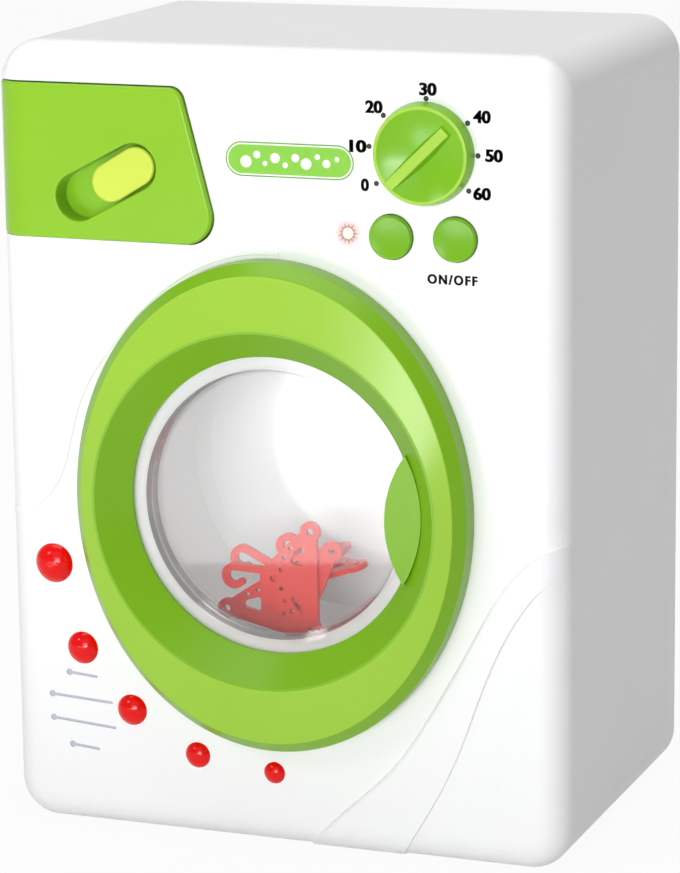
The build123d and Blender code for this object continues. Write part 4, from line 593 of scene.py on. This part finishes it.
def label_print(name, grow, lift, finish):
    """Rounded strip of ink round the badge's middle, grown by a margin."""
    half_x = BADGE_HALF[0] + grow
    half_z = BADGE_HALF[1] + grow
    outline = []
    for side, first in ((1, -90), (-1, 90)):
        for step in range(END_STEPS + 1):
            turn = radians(first + 180 * step / END_STEPS)
            outline.append((
                BADGE_MID[0] + side * (half_x - half_z) + half_z * cos(turn),
                BADGE_MID[1] + half_z * sin(turn),
            ))
    mesh = bpy.data.meshes.new(name)
    shape = bmesh.new()
    back = [shape.verts.new(Vector((x, FRONT_Y + INK_SINK, z)) * MM) for x, z in outline]
    face = shape.faces.new(back)
    raised = bmesh.ops.extrude_face_region(shape, geom=[face])
    for item in raised["geom"]:
        if isinstance(item, bmesh.types.BMVert):
            item.co.y -= (INK + lift) * MM
    bmesh.ops.recalc_face_normals(shape, faces=shape.faces)
    shape.to_mesh(mesh)
    shape.free()
    mesh.materials.append(finish)
    piece = bpy.data.objects.new(name, mesh)
    bpy.context.scene.collection.objects.link(piece)
    on_cabinet(piece)


label_print("badge_rim", 0.9, 0.0, inked("dark green ink", "#5E9E1E", "#68A826"))
label_print("badge_white", 0.45, 0.01, inked("white ink", "#F4F4F2", "#FAFAF8"))
label_print("badge_green", 0.0, 0.02, inked("green ink", "#7CC22C", "#86CC34"))
bubble_ink = inked("bubble ink", "#EFF7E2", "#F8FCF0")
ink_spots("badge_bubbles", BUBBLES, bubble_ink, 0.03)

# ---- bubble lenses and lamp ----------------------------------------------------------
# Five glossy domes of deep red polystyrene, pressed into the front from inside, and the
# small lamp of the same plastic, shown lit, with a pale heart and a red rim.

red_lens = Finish("red lens plastic")
lens_clouds = red_lens.noise(90.0, 2.0)
lens_skin = red_lens.noise(240.0, 1.0)
red_lens.principled({
    "Base Color": red_lens.blend(lens_clouds, colour("#E40000"), colour("#EC0402")),
    "Roughness": 0.1 + lens_clouds * 0.06,
    "Specular IOR Level": 0.3,
    "Normal": red_lens.bump(lens_skin, 0.004),
    "IOR": 1.49,
})
coat(red_lens.holder, *(f"bubble_lens_{number}" for number in range(1, 6)))

lit = Finish("lit lamp plastic")
lamp_far = lit.from_axis(0, 2, LAMP_AT) * (1000 / LAMP_R)
lamp_grain = lit.noise(900.0, 2.0)
lit.principled({
    "Base Color": lit.steps(
        lamp_far + lamp_grain * 0.1,
        (0.0, colour("#FFF6F0")), (0.55, colour("#FFE2D6")), (0.95, colour("#D8443A")),
    ),
    "Emission Color": lit.steps(lamp_far, (0.0, (1.0, 0.85, 0.8, 1)), (0.8, (0.25, 0.02, 0.01, 1))),
    "Emission Strength": 0.35,
    "Roughness": 0.15 + lamp_grain * 0.05,
    "Normal": lit.bump(lamp_grain, 0.003),
})
coat(lit.holder, "indicator_led")

# ---- door ----------------------------------------------------------------------------
# Glossy green ABS ring, clamped to a back ring by screws from behind, with the window
# held between them. Two steel pins carry it, and a tongue snaps into a white catch.

WINDOW_MID = (0.0, 115.0)
CREST_R = 58.2          # round inner edge of the front band, painted paler as a sheen
SHOULDER = (63.3, 75.9) # its oval outer edge, half width and half height
RING_MID = (0.0, 114.5) # middle of that oval

door_green = Finish("green door plastic")
ring_far = door_green.from_axis(0, 2, WINDOW_MID) * 1000
wide = (door_green.along(0) * 1000 - RING_MID[0]) * (1 / SHOULDER[0])
tall = (door_green.along(2) * 1000 - RING_MID[1]) * (1 / SHOULDER[1])
within = (wide * wide + tall * tall).under(1.0)
sheen_painted_band = ring_far.over(CREST_R) * within
door_clouds = door_green.noise(16.0, 3.0)
door_skin = door_green.noise(1900.0, 2.0)
# painted sheen and shade: the front band is painted paler green, the cone and outer wall darker
# green
shade_painted_green = door_green.blend(door_clouds, colour("#78AE16"), colour("#80B71E"))
sheen_painted_green = door_green.blend(door_clouds, colour("#98C63A"), colour("#A0CD43"))
door_green.principled({
    "Base Color": door_green.blend(sheen_painted_band, shade_painted_green, sheen_painted_green),
    "Roughness": 0.26 - sheen_painted_band * 0.06 + door_clouds * 0.06,
    "Normal": door_green.bump(door_skin, 0.002),
    "IOR": 1.5, "Specular IOR Level": 0.3,
})
coat(door_green.holder, "door_ring")
back_green = moulded("green back ring plastic", "#7EB414", "#88BE1E", 0.3, 0.004, 0.3)
coat(back_green, "door_back_ring")

# ---- window --------------------------------------------------------------------------
# One clear pan of polystyrene: flat rim, straight wall with fine turning marks left by
# the mould, and a flat pane. It mirrors the room a little and hides nothing behind it.

MARKS_FROM_R = 42.2     # foot of the pan's wall
RIM_SHADE_R = 43.2     # painted shade: dark line round the rim's inner edge
SATIN_RIM_R = 44.1

clear = Finish("clear window plastic")
turned_far = clear.from_axis(0, 2, WINDOW_MID)
satin_rim = turned_far.over(SATIN_RIM_R * MM)
rim_shade_line = turned_far.over(RIM_SHADE_R * MM) * turned_far.under(SATIN_RIM_R * MM)
turning_marks = (turned_far * 9000.0).wave() * turned_far.over(MARKS_FROM_R * MM)
ripple = clear.noise(25.0, 1.0)
window_skin = clear.bump(turning_marks * 0.3 + ripple * 0.2, 0.01)
gloss = clear.node("ShaderNodeBsdfGlossy", {}, {
    "Color": (1, 1, 1, 1), "Roughness": 0.03 + ripple * 0.02, "Normal": window_skin,
})
through = clear.node("ShaderNodeBsdfTransparent", {}, {"Color": (0.985, 0.99, 0.99, 1)})
haze = clear.node("ShaderNodeBsdfDiffuse", {}, {
    "Color": (0.92, 0.93, 0.94, 1), "Normal": window_skin,
})
shade = clear.node("ShaderNodeBsdfDiffuse", {}, {
    "Color": (0.16, 0.16, 0.17, 1), "Normal": window_skin,
})
mirror = clear.node("ShaderNodeFresnel", {}, {"IOR": 1.43, "Normal": window_skin})
film = clear.node("ShaderNodeMixShader", {}, {
    0: 0.01 + ripple * 0.01 + satin_rim * 0.4, 1: through, 2: haze,
})
# painted shade: a dark diffuse is mixed in along the rim's inner edge
lined = clear.node("ShaderNodeMixShader", {}, {0: rim_shade_line * 0.45, 1: film, 2: shade})
clear.surface(clear.node("ShaderNodeMixShader", {}, {0: mirror.capped(0.3), 1: lined, 2: gloss}))
coat(clear.holder, "door_window")

# ---- screws, pins and other steel ----------------------------------------------------
# Zinc-plated steel, brushed by its turning: pale, a little uneven, with fine scratches.
# Self-tapping screws hold every cover; plain pins and rods carry the door and the gears.

def plated(name, shade, stain, rough, stretch=(900.0, 160.0, 900.0)):
    """Bright metal: faint stains, and scratches drawn out along its turning."""
    finish = Finish(name)
    brushed = finish.noise(1.0, 3.0, finish.stretched(stretch))
    stains = finish.noise(55.0, 4.0)
    return finish.principled({
        "Base Color": finish.blend(stains, colour(shade), colour(stain)),
        "Metallic": 1.0,
        "Roughness": rough + brushed * 0.14,
        "Normal": finish.bump(brushed, 0.004),
    })


steel = plated("zinc-plated steel", "#C4C6C9", "#D6D8DA", 0.22)
coat(steel, "door_screws", "door_hinge_pins", "mouth_ring_screws", "drum_shaft", "bulkhead_screws",
     "gearbox_screws", "gear_axles", "motor_shaft", "drawer_screws", "guide_screws", "dial_screw",
     "board_screws", "battery_box_screws", "battery_cover_screw", "rear_cover_screws")

# ---- mouth ring and drum -------------------------------------------------------------
# White polystyrene drum turning behind a white mouth ring. Its wall shows faint rings
# from the mould's core and rubs a little where the hangers slide.

drum_white = Finish("white drum plastic")
drum_far = drum_white.from_axis(0, 2, WINDOW_MID)
core_rings = (drum_far * 2600.0).wave()
slid = drum_white.noise(1.0, 4.0, drum_white.stretched((60.0, 500.0, 60.0)))
drum_white.principled({
    "Base Color": drum_white.blend(slid, colour("#EEEFEF"), colour("#F5F6F6")),
    "Roughness": 0.32 + slid * 0.12,
    "Normal": drum_white.bump(core_rings * 0.2 + slid, 0.01),
    "IOR": 1.55,
})
coat(drum_white.holder, "drum")

inner_white = moulded("white inner plastic", "#E9EAE9", "#F1F2F1", 0.44, 0.008)
coat(inner_white, "mouth_ring", "door_catch", "drum_bulkhead")

# ---- gearbox and motor ---------------------------------------------------------------
# Grey ABS case with a spark-roughened skin, natural nylon wheels on steel axles, a brass
# bush and pinion, and a small brushed motor in a drawn steel can.

case_grey = moulded("grey gearbox plastic", "#6B6E71", "#777A7D", 0.56, 0.03)
coat(case_grey, "gearbox_case", "gearbox_lid")
nylon = moulded("natural nylon", "#E6E0CC", "#F0EBDA", 0.4, 0.006, 0.5, 0.25)
coat(nylon, "drum_gear", "second_gear", "first_gear", "dial_ratchet")
brass = plated("turned brass", "#CFA85A", "#DAB869", 0.2)
coat(brass, "shaft_bush", "motor_pinion")
drawn_can = plated("drawn steel can", "#B4B6B8", "#C4C5C6", 0.3, (500.0, 40.0, 500.0))
coat(drawn_can, "motor_can")

# ---- soap drawer ---------------------------------------------------------------------
# Green ABS front wrapped round the cabinet's corner, with a yellow-green pad snapped in
# its grip slot, screwed to a white tray that slides in a white guide.

drawer_green = moulded("green drawer plastic", "#86BE1C", "#8FC628", 0.24, 0.003, 0.3)
coat(drawer_green, "drawer_front")
pad_green = moulded("yellow-green pad plastic", "#CBDE48", "#D5E658", 0.3, 0.004, 0.3)
coat(pad_green, "drawer_grip")
coat(inner_white, "drawer_tray", "drawer_guide")

# ---- dial and buttons ----------------------------------------------------------------
# A dished dial of green ABS clicks on a nylon ratchet against a bent spring leaf. Two
# green ABS buttons stand on grey rubber domes over the board.

DIAL_FRONT_Y = -68.5
HIGHLIGHT_DEPTH = 0.12     # of the dial's front edge and ridge, painted paler as a highlight

dial_green = Finish("green dial plastic")
dial_clouds = dial_green.noise(30.0, 3.0)
dial_skin = dial_green.noise(1700.0, 2.0)
# painted highlight: the foremost edge and ridge are tinted pale green
highlight_painted_edge = dial_green.along(1).under((DIAL_FRONT_Y + HIGHLIGHT_DEPTH) * MM)
dish_green = dial_green.blend(dial_clouds, colour("#77B616"), colour("#80BE20"))
dial_green.principled({
    "Base Color": dial_green.blend(highlight_painted_edge, dish_green, colour("#A6D246")),
    "Roughness": 0.2 + dial_clouds * 0.06,
    "Normal": dial_green.bump(dial_skin, 0.002),
    "IOR": 1.5, "Specular IOR Level": 0.35,
})
coat(dial_green.holder, "dial_knob")
button_green = moulded("green button plastic", "#6FAE0C", "#78B616", 0.2, 0.003, 0.3)
coat(button_green, "light_button", "power_button")
spring_steel = plated("blued spring steel", "#8E9298", "#A2A6AC", 0.25, (60.0, 900.0, 900.0))
coat(spring_steel, "dial_click_spring")

dome_rubber = Finish("grey dome rubber")
bloom = dome_rubber.noise(180.0, 4.0)
dust = dome_rubber.noise(2200.0, 2.0)
dome_rubber.principled({
    "Base Color": dome_rubber.blend(bloom, colour("#7F8386"), colour("#8E9295")),
    "Roughness": 0.62 + bloom * 0.2,
    "Normal": dome_rubber.bump(dust, 0.01),
    "Sheen Weight": 0.2,
})
coat(dome_rubber.holder, "light_dome", "power_dome")

# ---- control board -------------------------------------------------------------------
# Green lacquered laminate with copper tracks showing through as paler lines, and a weave
# of glass cloth just felt at the surface.

board_green = Finish("lacquered board")
across = (board_green.along(0) * 2500.0).wave()
upward = (board_green.along(2) * 1600.0 + board_green.noise(45.0, 1.0) * 14.0).wave()
tracks = upward.over(0.55) * board_green.noise(80.0, 0.0).over(0.45)
cloth = across * (board_green.along(2) * 2500.0).wave()
lacquer = board_green.blend(board_green.noise(120.0, 3.0), colour("#175A30"), colour("#1D6638"))
board_green.principled({
    "Base Color": board_green.blend(tracks, lacquer, colour("#3E9A52")),
    "Roughness": 0.3 + tracks * 0.08,
    "Normal": board_green.bump(tracks + cloth * 0.15, 0.03),
    "Coat Weight": 0.4,
})
coat(board_green.holder, "control_board")

# ---- hangers -------------------------------------------------------------------------
# Small doll hangers of red polyethylene, each moulded flat with round holes and two long
# windows. They lie loose in a pile in the drum.

hanger_red = moulded("red hanger plastic", "#E6261C", "#EE3024", 0.3, 0.006, 0.3)
coat(hanger_red, *(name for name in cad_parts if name.startswith("hanger_")))

# ---- battery box ---------------------------------------------------------------------
# White box for three cells behind a white cover. Each cell is sleeved in black shrink
# film with a copper-coloured band at its cap; the contacts are nickel-plated steel.

coat(inner_white, "battery_box")
nickel = plated("nickel plate", "#C9C5BC", "#D8D5CD", 0.16)
coat(nickel, "battery_contacts")

SLEEVE_SHARE = 0.62     # black from the middle outwards, then the coloured band
FILM_SHARE = 0.955      # the film ends, and the bare metal shows

cell_low, cell_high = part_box("battery_cells")
sleeve = Finish("cell sleeve")
along_cell = sleeve.along(0)
tail = (cell_high[0] - cell_low[0]) * 0.5
banded = along_cell.size().over(tail * SLEEVE_SHARE)
metal_end = along_cell.size().over(tail * FILM_SHARE)
scuffs = sleeve.noise(1.0, 4.0, sleeve.stretched((90.0, 700.0, 700.0)))
film_colour = sleeve.blend(scuffs, colour("#15171A"), colour("#22252A"))
sleeve_colour = sleeve.blend(banded, film_colour, colour("#B9772F"))
sleeve.principled({
    "Base Color": sleeve.blend(metal_end, sleeve_colour, colour("#C8C9CA")),
    "Metallic": metal_end,
    "Roughness": 0.24 + scuffs * 0.12,
    "Normal": sleeve.bump(scuffs, 0.006),
})
coat(sleeve.holder, "battery_cells")

# ---- rear cover ----------------------------------------------------------------------
# White ABS with a fine matt etched skin, so that it hides scratches, screwed on from
# behind; the battery cover is its own piece of the same plastic.

etched_white = moulded("etched white plastic", "#EDEEEF", "#F4F4F5", 0.5, 0.02)
coat(etched_white, "rear_cover", "battery_cover")

# ---- speaker -------------------------------------------------------------------------
# Small paper-cone speaker behind its holes in the rear cover: ribbed black paper, with a
# pressed steel basket round it.

SPEAKER_AT = (62.0, 42.0)
CONE_R = 12.6

paper_cone = Finish("speaker paper")
cone_far = paper_cone.from_axis(0, 2, SPEAKER_AT)
ribs = (cone_far * 5200.0).wave()
basket = cone_far.over(CONE_R * MM)
pulp = paper_cone.noise(1400.0, 4.0)
paper = paper_cone.blend(pulp, colour("#17181A"), colour("#2A2B2E"))
paper_cone.principled({
    "Base Color": paper_cone.blend(basket, paper, colour("#A9ABAD")),
    "Metallic": basket,
    "Roughness": 0.72 - basket * 0.38 + pulp * 0.1,
    "Normal": paper_cone.bump(ribs * 0.5 + pulp * 0.4, 0.05),
})
coat(paper_cone.holder, "speaker")
